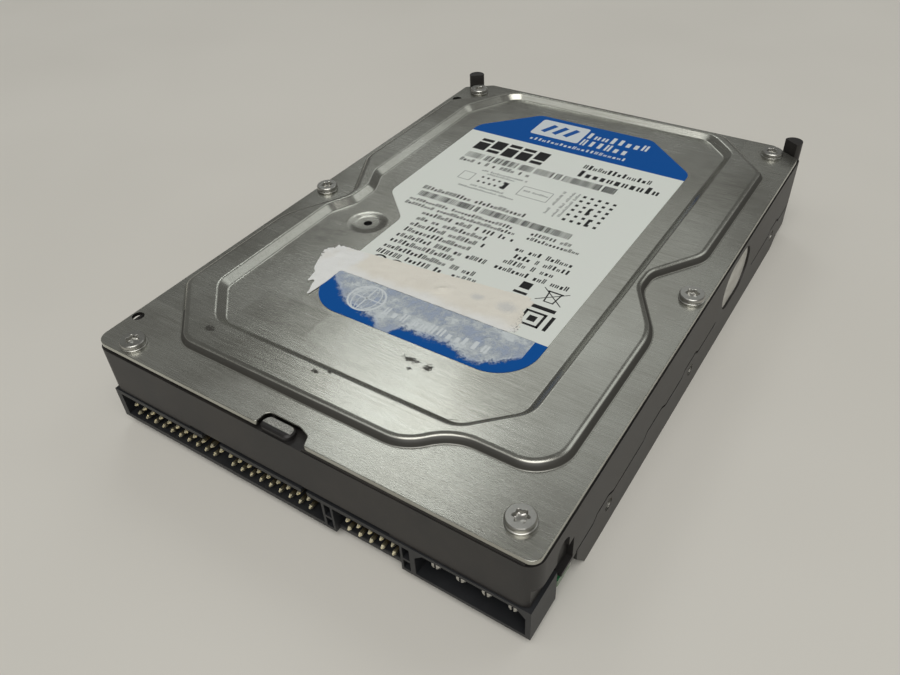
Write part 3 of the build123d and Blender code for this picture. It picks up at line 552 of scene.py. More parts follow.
def circlePath(x, y, radius, count):
    return [Vector((x + radius * math.cos(math.tau * k / count), y + radius * math.sin(math.tau * k / count)))
            for k in range(count)]


def insideLoop(point, loop):
    hit = False
    for i, a in enumerate(loop):
        b = loop[i - 1]
        if (a.y > point.y) != (b.y > point.y):
            if point.x < (b.x - a.x) * (point.y - a.y) / (b.y - a.y) + a.x:
                hit = not hit
    return hit


class Skin:
    # gathers the top face of a pressed or cut sheet, then gives it a thickness
    def __init__(self):
        self.points = []
        self.faces = []

    def loop(self, path, height):
        first = len(self.points)
        for point in path:
            self.points.append(Vector((point.x, point.y, height)))
        return list(range(first, first + len(path)))

    def bridge(self, outer, inner):
        count = len(outer)
        for i in range(count):
            j = (i + 1) % count
            self.faces.append((outer[i], outer[j], inner[j], inner[i]))

    def fill(self, outer, holes=(), inner=()):
        # flat region between an outer loop and holes, with loose points inside it
        indices = list(outer) + [k for hole in holes for k in hole] + list(inner)
        flat = [self.points[k].xy for k in indices]
        rims, first = [], 0
        for ring in [outer] + list(holes):
            rims += [(first + i, first + (i + 1) % len(ring)) for i in range(len(ring))]
            first += len(ring)
        result = geometry.delaunay_2d_cdt(flat, rims, [], 0, 1e-7)
        outerLoop = [self.points[k].xy for k in outer]
        holeLoops = [[self.points[k].xy for k in hole] for hole in holes]
        source = [ids[0] if ids else None for ids in result[3]]
        for face in result[2]:
            middle = sum((result[0][k] for k in face), Vector((0, 0))) / 3
            if insideLoop(middle, outerLoop) and not any(insideLoop(middle, hole) for hole in holeLoops):
                self.faces.append(tuple(indices[source[k]] for k in face))

    def solid(self, thickness, rims):
        # copies the skin downwards and closes it along its rims
        count = len(self.points)
        self.points += [point - Vector((0, 0, thickness)) for point in self.points]
        self.faces += [tuple(k + count for k in reversed(face)) for face in self.faces]
        for rim in rims:
            for i in range(len(rim)):
                j = (i + 1) % len(rim)
                self.faces.append((rim[i], rim[i] + count, rim[j] + count, rim[j]))


def rolledEdge(skin, edge, top, radius):
    # quarter-round upper edge of a sheet; gives the loops at its foot and at its top
    rim = lip = skin.loop(edge, top - radius)
    for degrees in (30, 60, 90):
        turn = math.radians(degrees)
        ring = skin.loop(inset(edge, [radius * (1 - math.cos(turn))] * len(edge)),
                         top - radius * (1 - math.sin(turn)))
        skin.bridge(lip, ring)
        lip = ring
    return rim, lip


def makePiece(name, points, faces, material, smooth=True, angle=40):
    mesh = bpy.data.meshes.new(name)
    mesh.from_pydata([Vector(p) * mm for p in points], [], faces)
    mesh.validate()
    mesh.update()
    mesh.materials.append(material)
    piece = bpy.data.objects.new(name, mesh)
    bpy.context.scene.collection.objects.link(piece)
    if smooth:
        mesh.shade_smooth()
        mesh.set_sharp_from_angle(angle=math.radians(angle))
    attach(piece, "base")
    return piece


# cover: a pressed sheet; corners are x, y and radius, and strip is a flat guard beside each bend

cover = {
    "top": 22.8, "sheet": 0.8, "rise": 1.5, "edgeRounding": 0.12, "strip": 0.08,
    "outline": [
        (-50.6, -72.9, 2.8), (-6.0, -72.9, 0.4), (-5.8, -69.75, 1.2), (1.8, -69.75, 2.6), (4.4, -70.7, 0.9),
        (5.3, -72.9, 0.4), (50.6, -72.9, 2.0), (50.6, 68.4, 1.5), (43.4, 73.3, 2.0),
        (-43.4, 73.3, 2.0), (-50.6, 68.4, 1.5)],
    "ridgeFoot": [
        (-34.0, -65.4, 7.0), (20.5, -65.4, 10.0), (27.2, -58.7, 10.0), (41.8, -58.7, 7.5),
        (46.2, -53.5, 8.0), (46.2, -16.4, 14.0), (38.5, -3.6, 6.0), (38.5, 1.6, 5.0),
        (46.1, 12.9, 8.0), (46.1, 54.8, 4.0), (31.5, 71.0, 6.0), (-33.0, 71.0, 6.0),
        (-48.9, 56.0, 5.0), (-48.9, 14.6, 8.0), (-41.2, -0.8, 4.0), (-41.2, -4.4, 4.0),
        (-48.9, -18.5, 12.0), (-48.9, -50.3, 5.0)],
    "fieldFoot": [
        (-31.2, -54.9, 4.0), (25.4, -54.9, 4.0), (34.0, -46.4, 4.0), (34.0, 60.4, 4.0),
        (27.0, 67.5, 4.0), (-32.0, 67.5, 5.0), (-39.4, 53.5, 4.0), (-39.4, 9.5, 5.0),
        (-36.4, 3.0, 5.0), (-36.4, -4.4, 5.0), (-39.4, -10.6, 4.0), (-39.4, -46.2, 3.0)],
    "outerWall": {"foot": 0.35, "crown": 1.7, "slope": 70},
    "innerWall": {"foot": 0.7, "crown": 0.8, "slope": 40},
    "locators": [(-48.9, -63.2, 1.3), (-48.2, 59.5, 1.35)],
    "breather": {"x": -29.0, "y": -10.2, "radius": 5.0, "floor": 2.6, "depth": 0.38, "hole": 1.0,
                 "steps": 6, "sides": 64},
}


def pressedStep(rise, foot, crown, slope, pieces=5):
    # profile of a pressed wall: an arc at the foot, a straight slope and an arc at the crown
    angle = math.radians(slope)
    profile = [(foot * math.sin(angle * k / pieces), foot * (1 - math.cos(angle * k / pieces)))
               for k in range(pieces + 1)]
    straight = rise - (foot + crown) * (1 - math.cos(angle))
    across, height = profile[-1]
    across += straight / math.tan(angle)
    height += straight
    for k in range(pieces + 1):
        left = angle * (1 - k / pieces)
        profile.append((across + crown * (math.sin(angle) - math.sin(left)),
                        height + crown * (math.cos(left) - math.cos(angle))))
    return profile


def squeeze(loop, other, wanted):
    # share of its full width that the wall keeps at each point, less than one where the ridge is narrow
    return [min(1.0, 0.92 * min((point - p).length for p in other[::3]) / wanted) for point in loop]


def makeCover():
    skin = Skin()
    top, rise = cover["top"], cover["rise"]
    foot = evenPath(roundedPath(cover["ridgeFoot"], 0.3), 1000)
    field = evenPath(roundedPath(cover["fieldFoot"], 0.3), 900)
    outerWall = pressedStep(rise, **cover["outerWall"])
    innerWall = pressedStep(rise, **cover["innerWall"])
    wanted = outerWall[-1][0] + innerWall[-1][0]
    outerShare = squeeze(foot, field, wanted)
    innerShare = squeeze(field, foot, wanted)
    edge = evenPath(roundedPath(cover["outline"], 0.2), 1500)
    rounding = cover["edgeRounding"]
    rim, lip = rolledEdge(skin, edge, top, rounding)
    # a narrow flat strip beside each bend keeps the shading of the flats even
    strip = cover["strip"]
    holes = [skin.loop(circlePath(x, y, r, 40), top) for x, y, r in cover["locators"]]
    ring = skin.loop(inset(edge, [rounding + strip] * len(edge)), top)
    skin.bridge(lip, ring)
    wall = skin.loop(inset(foot, [-strip] * len(foot)), top)
    skin.fill(ring, [wall] + holes)
    for across, height in outerWall + [(outerWall[-1][0] + strip, rise)]:
        ring = skin.loop(inset(foot, [across * share for share in outerShare]), top + height)
        skin.bridge(wall, ring)
        wall = ring
    slope = None
    for across, height in [(innerWall[-1][0] + strip, rise)] + innerWall[::-1] + [(-strip, 0.0)]:
        ring = skin.loop(inset(field, [-across * share for share in innerShare]), top + height)
        if slope:
            skin.bridge(slope, ring)
        else:
            skin.fill(wall, [ring])
        slope = ring
    vent = cover["breather"]

    def ventRing(radius, height):
        return skin.loop(circlePath(vent["x"], vent["y"], radius, vent["sides"]), height)

    border = ventRing(vent["radius"] + strip, top)
    mouth = ventRing(vent["radius"], top)
    skin.fill(slope, [border])
    skin.bridge(border, mouth)
    for k in range(vent["steps"]):
        share = (k + 1) / vent["steps"]
        radius = vent["radius"] + (vent["floor"] - vent["radius"]) * share
        ring = ventRing(radius, top - vent["depth"] * (1 - math.cos(math.pi * share)) / 2)
        skin.bridge(mouth, ring)
        mouth = ring
    pierced = ventRing(vent["hole"], top - vent["depth"])
    skin.bridge(mouth, pierced)
    skin.solid(cover["sheet"], [rim] + [list(reversed(hole)) for hole in [pierced] + holes])
    piece = makePiece("pressedCover", skin.points, skin.faces, steel)
    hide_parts("top_cover")


print("cover")
makeCover()


# label and the torn sticker on it

label = {
    "top": 22.9, "thickness": 0.1, "markHeight": 0.012,
    "outline": [
        (-22.9, -41.3, 9.0), (29.4, -41.3, 9.0), (29.4, 47.6, 4.0), (14.3, 60.8, 4.0),
        (-19.7, 60.8, 3.0), (-32.8, 47.2, 5.0), (-32.8, 4.6, 4.0), (-22.9, -4.8, 4.0)],
}


def makeLabel():
    skin = Skin()
    edge = evenPath(roundedPath(label["outline"], 0.3), 500)
    rim = skin.loop(edge, label["top"])
    skin.fill(rim)
    skin.solid(label["thickness"], [rim])
    piece = makePiece("paperLabel", skin.points, skin.faces, finishes["label"], smooth=False)
    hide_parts("cover_label")


torn = {
    "outline": [
        (-29.0, -28.6, 1.0), (-27.6, -31.4, 1.0), (-26.6, -32.6, 0.8), (-25.7, -36.2, 0.25),
        (-24.7, -34.4, 0.4),
        (-23.8, -36.8, 0.35), (-22.6, -40.2, 0.2), (-21.9, -34.0, 0.8), (-21.9, -29.2, 0.6),
        (-10.0, -29.15, 2.0), (20.0, -29.15, 1.0), (22.2, -28.4, 0.3),
        (21.4, -25.0, 0.6), (20.0, -21.5, 0.6), (20.8, -18.9, 0.5), (18.9, -17.3, 0.5), (2.0, -18.9, 8.0),
        (-17.0, -20.7, 8.0), (-28.2, -21.6, 1.0), (-30.2, -25.0, 1.2)],
    "top": 23.02, "thickness": 0.09, "swell": 0.30, "seed": 7,
    # rough paper: inside the shreds, left of this x, and elsewhere
    "shredsTo": -22, "fuzz": (0.3, 0.08),
    "grid": 0.8, "jitter": 0.2, "gridFrom": (-31.0, -40.0), "gridTo": (22.5, -16.0), "margin": 0.4,
    # raggedness of the outline, and its share along the upper edge, the lower edge and the shreds' edge
    "ragged": 0.55, "upperShare": 0.22, "lowerShare": 0.12, "shredShare": 0.3,
    "curl": {"x": 2.0, "y": -24.6, "reach": 3.0, "deep": 2.2, "high": 0.9, "turn": 35},
}


def tornHeight(x, y):
    # paper lies in soft swells, with finer fuzz, and lifts in one small curl
    lift = abs(noise.fractal(Vector((x, y, 3.0)) * 0.22, 0.7, 2.1, 4)) * torn["swell"]
    rough, smooth = torn["fuzz"]
    fuzz = rough if x < torn["shredsTo"] else smooth
    lift += max(0.0, noise.fractal(Vector((x, y, 9.0)) * 0.9, 0.7, 2.1, 3)) * fuzz
    curl = torn["curl"]
    angle = math.radians(curl["turn"])
    along = (x - curl["x"]) * math.cos(angle) + (y - curl["y"]) * math.sin(angle)
    across = (y - curl["y"]) * math.cos(angle) - (x - curl["x"]) * math.sin(angle)
    if abs(along) < curl["reach"] and -0.1 < across < curl["deep"]:
        lift += curl["high"] * (1 - (along / curl["reach"]) ** 2) * (1 - across / curl["deep"]) ** 2
    return lift


def raggedShare(point):
    # the cut edges are calm and the torn ones are not
    if point.y < -28.6:
        return torn["lowerShare"] if point.x > -22.6 else torn["shredShare"]
    return torn["upperShare"] if point.y > -22.3 and -27 < point.x < 18.3 else 1.0


def makeTorn():
    skin = Skin()
    edge = evenPath(roundedPath(torn["outline"], 0.3), 900)
    ragged = []
    for i, point in enumerate(edge):
        along = (edge[(i + 1) % len(edge)] - edge[i - 1]).normalized()
        reach = noise.fractal(Vector((point.x, point.y, torn["seed"])) * 1.1, 0.5, 2.2, 6)
        ragged.append(point + Vector((-along.y, along.x)) * reach * torn["ragged"] * raggedShare(point))
    rim = skin.loop(ragged, torn["top"])
    inner = []
    loose = random.Random(torn["seed"])
    jitter = torn["jitter"]
    y = torn["gridFrom"][1]
    while y < torn["gridTo"][1]:
        x = torn["gridFrom"][0]
        while x < torn["gridTo"][0]:
            spot = Vector((x + loose.uniform(-jitter, jitter), y + loose.uniform(-jitter, jitter)))
            near = min((spot - p).length for p in ragged[::4])
            if near > torn["margin"] and insideLoop(spot, ragged):
                # flat at the outline, and thinning out towards the lower edge right of the shreds
                lift = tornHeight(spot.x, spot.y) * min(near / 1.5, 1)
                thin = min(max((spot.y + 30.6) / 3, 0), 1) if spot.x > torn["shredsTo"] else 1.0
                skin.points.append(Vector((spot.x, spot.y, torn["top"] + lift * thin)))
                inner.append(len(skin.points) - 1)
            x += torn["grid"]
        y += torn["grid"]
    skin.fill(rim, inner=inner)
    skin.solid(torn["thickness"], [rim])
    piece = makePiece("tornSticker", skin.points, skin.faces, finishes["torn_paper"],
                      angle=50)
    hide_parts("torn_sticker")


print("label")
makeLabel()
makeTorn()


# geometry nodes: shapes set on points, realised and turned into plain meshes

def geometryTree(name, inputs):
    group = bpy.data.node_groups.new(name, "GeometryNodeTree")
    group.interface.new_socket("Geometry", in_out="INPUT", socket_type="NodeSocketGeometry")
    for title, (kind, value) in inputs.items():
        socket = group.interface.new_socket(title, in_out="INPUT", socket_type="NodeSocket" + kind)
        socket.default_value = value
    group.interface.new_socket("Geometry", in_out="OUTPUT", socket_type="NodeSocketGeometry")
    tree = Tree(group)
    entry = tree.add("NodeGroupInput")
    return tree, entry


def closeTree(tree, shape, material):
    real = tree.add("GeometryNodeRealizeInstances", sockets={0: shape})
    dressed = tree.add("GeometryNodeSetMaterial", sockets={"Geometry": real, "Material": material})
    tree.add("NodeGroupOutput", sockets={0: dressed})


def grow(name, points, edges, tree, values, material, replaced=None, smooth=None):
    # runs a tree on points and keeps the result as a plain mesh
    base = bpy.data.meshes.new(name + "Base")
    base.from_pydata([Vector(p) * mm for p in points], edges, [])
    seedObject = bpy.data.objects.new(name + "Base", base)
    bpy.context.scene.collection.objects.link(seedObject)
    modifier = seedObject.modifiers.new(name, "NODES")
    modifier.node_group = tree.nodeTree
    for item in tree.nodeTree.interface.items_tree:
        if item.item_type == "SOCKET" and item.in_out == "INPUT" and item.name in values:
            modifier[item.identifier] = values[item.name]
    graph = bpy.context.evaluated_depsgraph_get()
    mesh = bpy.data.meshes.new_from_object(seedObject.evaluated_get(graph))
    bpy.data.objects.remove(seedObject)
    mesh.name = name
    mesh.materials.clear()
    mesh.materials.append(material)
    if smooth:
        mesh.shade_smooth()
        mesh.set_sharp_from_angle(angle=math.radians(smooth))
    piece = bpy.data.objects.new(name, mesh)
    bpy.context.scene.collection.objects.link(piece)
    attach(piece, "base")
    if replaced:
        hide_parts(replaced)


# corner numbers of a box's faces, turned outwards
boxFaces = ((3, 2, 1, 0), (4, 5, 6, 7), (0, 1, 5, 4), (1, 2, 6, 5), (2, 3, 7, 6), (3, 0, 4, 7))


def boxMesh(name, boxes):
    # flat boxes (x0, x1, y0, y1) in a unit square, one unit high
    points, faces = [], []
    for x0, x1, y0, y1 in boxes:
        first = len(points)
        points += [(x, y, z) for z in (-0.5, 0.5) for x, y in ((x0, y0), (x1, y0), (x1, y1), (x0, y1))]
        faces += [tuple(first + k for k in face) for face in boxFaces]
    mesh = bpy.data.meshes.new(name)
    mesh.from_pydata([Vector(p) * mm for p in points], [], faces)
    shape = bpy.data.objects.new(name, mesh)
    bpy.context.scene.collection.objects.link(shape)
    return shape


# plain blocks and bars that stand in for characters
strokes = {
    "post": [(-0.36, 0.36, -0.5, 0.5)],
    "lowPost": [(-0.42, 0.42, -0.5, 0.14)],
    "twoBars": [(-0.5, -0.12, -0.5, 0.5), (0.12, 0.5, -0.5, 0.5)],
    "lowBars": [(-0.5, -0.12, -0.5, 0.14), (0.12, 0.5, -0.5, 0.14)],
}
bold = {"middleSlit": [(-0.5, 0.5, 0.06, 0.5), (-0.5, 0.5, -0.5, -0.06)],
        "upperSlit": [(-0.5, 0.5, 0.28, 0.5), (-0.5, 0.5, -0.5, 0.16)],
        "lowerSlit": [(-0.5, 0.5, -0.16, 0.5), (-0.5, 0.5, -0.5, -0.28)]}
plain = {"bar": [(-0.5, 0.5, -0.5, 0.5)]}


def markTree(name, shapes, material):
    # rows of small marks along edges, with random gaps between words
    tree, entry = geometryTree(name, {
        "Pitch": ("Float", 0.001), "Width": ("Float", 0.8), "Height": ("Float", 1.4),
        "Vary Width": ("Float", 0.2), "Vary Height": ("Float", 0.2), "Gap Share": ("Float", 0.2),
        "Thickness": ("Float", 0.01), "Turn": ("Float", 0.0), "Seed": ("Int", 0)})
    curve = tree.add("GeometryNodeMeshToCurve", sockets={0: entry.out("Geometry")})
    spots = tree.add("GeometryNodeCurveToPoints", {"mode": "LENGTH"},
                     {0: curve, "Length": entry.out("Pitch")})
    drop = tree.add("FunctionNodeRandomValue", {"data_type": "BOOLEAN"},
                    {"Probability": entry.out("Gap Share"), "Seed": entry.out("Seed")}, out=3)
    kept = tree.add("GeometryNodeDeleteGeometry", {"domain": "POINT"}, {0: spots, "Selection": drop})
    width, height = entry.out("Width"), entry.out("Height")
    varyWidth, varyHeight = entry.out("Vary Width"), entry.out("Vary Height")
    low = tree.add("ShaderNodeCombineXYZ", sockets={
        0: width * (1 - varyWidth), 1: height * (1 - varyHeight), 2: entry.out("Thickness")})
    high = tree.add("ShaderNodeCombineXYZ", sockets={
        0: width * (1 + varyWidth), 1: height * (1 + varyHeight), 2: entry.out("Thickness")})
    scale = tree.add("FunctionNodeRandomValue", {"data_type": "FLOAT_VECTOR"},
                     {0: low, 1: high, "Seed": entry.out("Seed") + 1})
    models = [tree.add("GeometryNodeObjectInfo", {"transform_space": "ORIGINAL"},
                       {"Object": shape, "As Instance": True}).out("Geometry") for shape in shapes]
    choice = tree.add("GeometryNodeJoinGeometry", sockets={0: models})
    which = tree.add("FunctionNodeRandomValue", {"data_type": "INT"},
                     {4: 0, 5: len(shapes) - 1, "Seed": entry.out("Seed") + 2}, out=2)
    turn = tree.add("ShaderNodeCombineXYZ", sockets={2: entry.out("Turn")})
    placed = tree.add("GeometryNodeInstanceOnPoints", sockets={
        "Points": kept, "Instance": choice, "Pick Instance": True, "Instance Index": which,
        "Rotation": turn, "Scale": scale})
    closeTree(tree, placed, material)
    return tree


print("printing")
# sizes in millimetres; gap is the share of marks left out and vary is how much their sizes differ
textRow = {"pitch": 1.06, "width": 0.74, "height": 1.5, "gap": 0.13, "vary": 0.12, "shapes": strokes,
           "ink": blackInk}
fineRow = dict(textRow, pitch=0.62, width=0.42, height=0.75, ink=greyInk)
barRow = {"pitch": 0.58, "width": 0.30, "height": 2.7, "gap": 0.05, "vary": 0.65, "varyHigh": 0.0,
          "shapes": plain, "ink": blackInk}
dotRow = {"pitch": 1.88, "width": 0.80, "height": 0.95, "gap": 0.0, "vary": 0.0, "shapes": plain,
          "ink": blackInk}
marks = {
    # each row runs from x to x at y, and each column from y to y at x
    "capacity": dict(textRow, rows=[(-25.2, -7.7, 37.4)], pitch=4.3, width=3.5, height=6.6, gap=0.0,
                     vary=0.04, shapes=bold),
    "kind": dict(textRow, rows=[(4.9, 23.6, 39.0)], pitch=1.28, width=0.95, height=2.2, gap=0.10),
    "model": dict(textRow, rows=[(5.4, 25.6, 35.2)], pitch=1.95, width=1.45, height=3.1, gap=0.0, vary=0.06),
    "serialCode": dict(barRow, rows=[(-26.4, 16.6, 30.8)], height=2.9),
    "serial": dict(textRow, rows=[(-26.2, -6.2, 27.7)], height=1.7),
    "fine": dict(fineRow, rows=[(-17.7, -5.0, 24.7), (-19.3, -3.8, 15.5), (-15.5, -8.0, 23.6),
                                (-16.5, -7.5, 16.8), (-3.2, 3.2, 20.6)]),
    "upright": dict(fineRow, columns=[(6.0, 24.8, 13.8), (8.2, 25.5, 21.0), (8.2, 19.6, 13.4),
                                      (9.6, 25.5, 14.0)], pitch=0.60),
    "modelLine": dict(textRow, rows=[(-26.2, 2.3, 10.3)], height=1.65),
    "modelCode": dict(barRow, rows=[(-25.8, 16.0, 7.3)], height=2.4, pitch=0.55),
    "notice": dict(textRow, rows=[(-26.2, 2.3, 4.2), (-26.2, 4.0, 2.2), (8.0, 18.4, 4.2), (8.0, 20.4, 2.2)],
                   pitch=0.94, width=0.62, height=1.3),
    "details": dict(textRow, rows=[
        (-19.3, 5.1, -0.2), (-19.1, -0.7, -2.8), (-19.1, 0.4, -5.5), (-19.1, -1.8, -8.1), (8.0, 21.3, -2.8),
        (8.0, 21.8, -5.5), (8.0, 20.4, -8.1), (-19.3, 24.2, -10.8), (-19.3, -2.7, -13.3), (-19.3, 4.2, -15.9),
        (-19.3, -2.7, -18.5), (0.8, 5.8, -18.4)], height=1.65),
    "jumperDots": dict(dotRow, rows=[(11.3, 19.2, y) for y in (24.9, 22.7, 20.4, 18.2, 15.8, 13.4)]),
    "smallDots": dict(dotRow, rows=[(-15.9, -9.4, 21.6), (-15.9, -9.4, 19.2)], pitch=1.6, width=0.62,
                      height=0.8),
    "makerLines": dict(textRow, rows=[(-1.6, 14.4, 55.6), (-1.6, 10.4, 51.2)], pitch=2.1, width=1.5,
                       height=3.3, gap=0.0, ink=whiteInk),
    "address": dict(textRow, rows=[(-16.8, 13.1, 47.1)], pitch=1.25, width=0.85, height=1.5, gap=0.04,
                    ink=whiteInk),
    "series": dict(textRow, rows=[(-4.3, 0.2, -35.8), (3.2, 13.2, -35.8), (14.7, 19.4, -35.8)], pitch=1.72,
                   width=1.2, height=2.5, gap=0.0, ink=whiteInk),
    "smallPrint": dict(fineRow, rows=[(11.4, 20.9, -27.4)]),
}
shapeObjects = {}
for shapes in (strokes, bold, plain):
    for name, boxes in shapes.items():
        shapeObjects[name] = boxMesh(name, boxes)
markTrees = {}
for index, (name, row) in enumerate(marks.items()):
    kind = (row["ink"].name, tuple(row["shapes"]))
    if kind not in markTrees:
        markTrees[kind] = markTree("printedRow", [shapeObjects[k] for k in row["shapes"]], row["ink"])
    points, edges = [], []
    height = label["top"] + label["markHeight"] / 2
    turn = 90 if "columns" in row else 0
    ends = [((x0, y, height), (x1, y, height)) for x0, x1, y in row.get("rows", [])]
    ends += [((x, y0, height), (x, y1, height)) for x, y0, y1 in row.get("columns", [])]
    for start, end in ends:
        edges.append((len(points), len(points) + 1))
        points += [start, end]
    grow("print_" + name, points, edges, markTrees[kind], {
        "Pitch": row["pitch"] * mm, "Width": row["width"], "Height": row["height"],
        "Vary Width": row["vary"], "Vary Height": row.get("varyHigh", 0.1), "Gap Share": row["gap"],
        "Thickness": label["markHeight"], "Turn": math.radians(turn), "Seed": 11 + index},
        row["ink"])
for shape in shapeObjects.values():
    bpy.data.objects.remove(shape)


def ringMark(points, faces, x, y, radius, width, wide=1.0, start=0, end=360, lift=0.0, pieces=48):
    # flat ring or arc, squeezed in X by wide and raised by lift
    first = len(points)
    z0, z1 = label["top"], label["top"] + label["markHeight"] + lift
    for k in range(pieces + 1):
        angle = math.radians(start + (end - start) * k / pieces)
        for reach, z in ((radius, z0), (radius, z1), (radius - width, z1), (radius - width, z0)):
            points.append((x + reach * wide * math.cos(angle), y + reach * math.sin(angle), z))
    for k in range(pieces):
        for m in range(4):
            a, b = first + 4 * k + m, first + 4 * k + (m + 1) % 4
            faces.append((a, a + 4, b + 4, b))
    if abs(end - start) < 360:
        faces.append(tuple(first + m for m in range(4)))
        faces.append(tuple(first + 4 * pieces + m for m in (3, 2, 1, 0)))


def barMark(points, faces, x0, y0, x1, y1, width):
    # straight flat bar between two points
    start, end = Vector((x0, y0)), Vector((x1, y1))
    side = (end - start).normalized()
    side = Vector((-side.y, side.x)) * width / 2
    first = len(points)
    for z in (label["top"], label["top"] + label["markHeight"] * 1.1):
        for corner in (start + side, start - side, end - side, end + side):
            points.append((corner.x, corner.y, z))
    faces += [tuple(first + k for k in face) for face in boxFaces]


icons = {
    # arcs are x, y, radius, width, start and end in degrees
    "arcs": [(-17.3, -21.6, 1.9, 0.5, 20, 160), (-12.9, -21.6, 1.9, 0.5, 20, 160)],
    # bars are two ends and a width
    "bars": [(15.1, -13.9, 17.5, -13.9, 2.4), (14.7, -16.6, 17.9, -16.6, 0.8),
             (20.0, -12.4, 25.9, -17.0, 0.22), (25.9, -12.4, 20.0, -17.0, 0.22),
             (21.2, -13.2, 24.8, -13.2, 0.4),
             (21.6, -13.2, 22.0, -16.8, 0.3), (24.4, -13.2, 24.0, -16.8, 0.3),
             (21.8, -16.8, 24.2, -16.8, 0.3), (20.0, -19.1, 25.9, -19.1, 1.1),
             (15.0, 20.6, 15.0, 17.4, 0.75), (16.9, 16.2, 16.9, 12.9, 0.75), (-8.7, 21.9, -8.7, 18.6, 1.1),
             (20.2, -20.9, 25.0, -20.9, 0.6), (20.2, -25.1, 25.0, -25.1, 0.6),
             (20.5, -20.6, 20.5, -25.4, 0.6), (24.7, -20.6, 24.7, -25.4, 0.6),
             (21.7, -23.0, 23.5, -23.0, 1.8), (26.4, -20.6, 26.4, -25.4, 0.8)],
    "outlines": [(-21.8, -18.4, 18.5, 22.3), (-4.3, 4.0, 18.0, 22.6)], "outlineWidth": 0.16,
    "globe": {"x": -10.6, "y": -34.4, "radius": 4.3, "rim": 0.42, "line": 0.30, "squeezes": (0.35, 0.72)},
}


def makeIcons():
    points, faces = [], []
    for x, y, radius, width, start, end in icons["arcs"]:
        ringMark(points, faces, x, y, radius, width, start=start, end=end)
    for bar in icons["bars"]:
        barMark(points, faces, *bar)
    makePiece("print_icons", points, faces, blackInk, smooth=False)
    points, faces = [], []
    for x0, x1, y0, y1 in icons["outlines"]:
        for bar in ((x0, y0, x1, y0), (x1, y0, x1, y1), (x1, y1, x0, y1), (x0, y1, x0, y0)):
            barMark(points, faces, *bar, icons["outlineWidth"])
    makePiece("print_outlines", points, faces, greyInk, smooth=False)
    points, faces = [], []
    globe = icons["globe"]
    x, y, line = globe["x"], globe["y"], globe["line"]
    ringMark(points, faces, x, y, globe["radius"], globe["rim"])
    for squeezed in globe["squeezes"]:
        ringMark(points, faces, x, y, globe["radius"] - 0.1, line, wide=squeezed, lift=squeezed * 0.01)
    barMark(points, faces, x, y + 4.1, x, y - 4.1, line)
    barMark(points, faces, x - 4.2, y, x + 4.2, y, line)
    makePiece("print_ring", points, faces, whiteInk, smooth=False)


badge = {"corners": [(-17.6, 49.6, 0.8), (-3.0, 49.6, 0.8), (-3.0, 59.0, 0.8), (-17.6, 59.0, 0.8)],
         "barsAt": (-14.7, -11.3, -7.9), "barFrom": 51.9, "barTo": 56.7, "slant": 2.0, "barWidth": 1.6}


def makeBadge():
    # white rounded box in the upper band with three slanted bars on it
    skin = Skin()
    edge = evenPath(roundedPath(badge["corners"], 0.2), 160)
    rim = skin.loop(edge, label["top"] + label["markHeight"])
    skin.fill(rim)
    skin.solid(label["markHeight"], [rim])
    makePiece("print_badge", skin.points, skin.faces, whiteInk, smooth=False)
    points, faces = [], []
    for x in badge["barsAt"]:
        barMark(points, faces, x, badge["barFrom"], x + badge["slant"], badge["barTo"], badge["barWidth"])
    lifted = [(x, y, z + label["markHeight"]) for x, y, z in points]
    makePiece("print_badgeBlocks", lifted, faces, blueInk, smooth=False)


makeIcons()
makeBadge()


# screws and pins, also by geometry nodes

coverScrew = {"places": [(-42.4, -69.7), (44.7, -67.2), (47.6, -0.8), (-47.9, -2.6), (-44.8, 66.9),
                         (44.2, 67.7)],
              "flange": 2.72, "flangeHigh": 0.3, "head": 2.6, "headHigh": 1.3, "socket": 1.42, "deep": 0.9,
              "lobes": 6, "lobeDepth": 0.24, "sides": 96}


def lobedCircle(lobes, depth, count):
    # radii of a unit circle with lobes
    return [1 - depth * (1 - math.cos(lobes * math.tau * k / count)) / 2 for k in range(count)]


def screwShape(size):
    # head with a flange and a six-lobed recess, as a ring-by-ring shape round the Z axis
    count = size["sides"]
    circle = [1.0] * count
    star = lobedCircle(size["lobes"], size["lobeDepth"], count)
    flange, head, rim = size["flange"], size["head"], size["socket"]
    low, high, deep = size["flangeHigh"], size["headHigh"], size["deep"]
    rings = [(flange - 0.08, 0.0, circle), (flange, 0.08, circle), (flange, low - 0.08, circle),
             (flange - 0.08, low, circle), (head - 0.12, low + 0.03, circle),
             (head - 0.12, low + 0.12, circle), (head, low + 0.18, circle), (head, high - 0.26, circle),
             (head - 0.07, high - 0.12, circle),
             (head - 0.2, high, circle), (head - 0.26, high, circle), (rim + 0.16, high, star),
             (rim + 0.1, high, star), (rim, high - 0.08, star),
             (rim * 0.92, high - deep + 0.1, star), (rim * 0.8, high - deep, star),
             (rim * 0.42, high - deep - 0.06, circle), (0.05, high - deep - 0.2, circle)]
    points, faces = [], []
    for radius, z, form in rings:
        for k in range(count):
            angle = math.tau * k / count
            points.append((radius * form[k] * math.cos(angle), radius * form[k] * math.sin(angle), z))
    for r in range(len(rings) - 1):
        for k in range(count):
            j = (k + 1) % count
            faces.append((r * count + k, r * count + j, (r + 1) * count + j, (r + 1) * count + k))
    last = (len(rings) - 1) * count
    faces.append(tuple(range(last, last + count)))
    faces.append(tuple(reversed(range(count))))
    mesh = bpy.data.meshes.new("screwShape")
    mesh.from_pydata([Vector(p) * mm for p in points], [], faces)
    shape = bpy.data.objects.new("screwShape", mesh)
    bpy.context.scene.collection.objects.link(shape)
    return shape


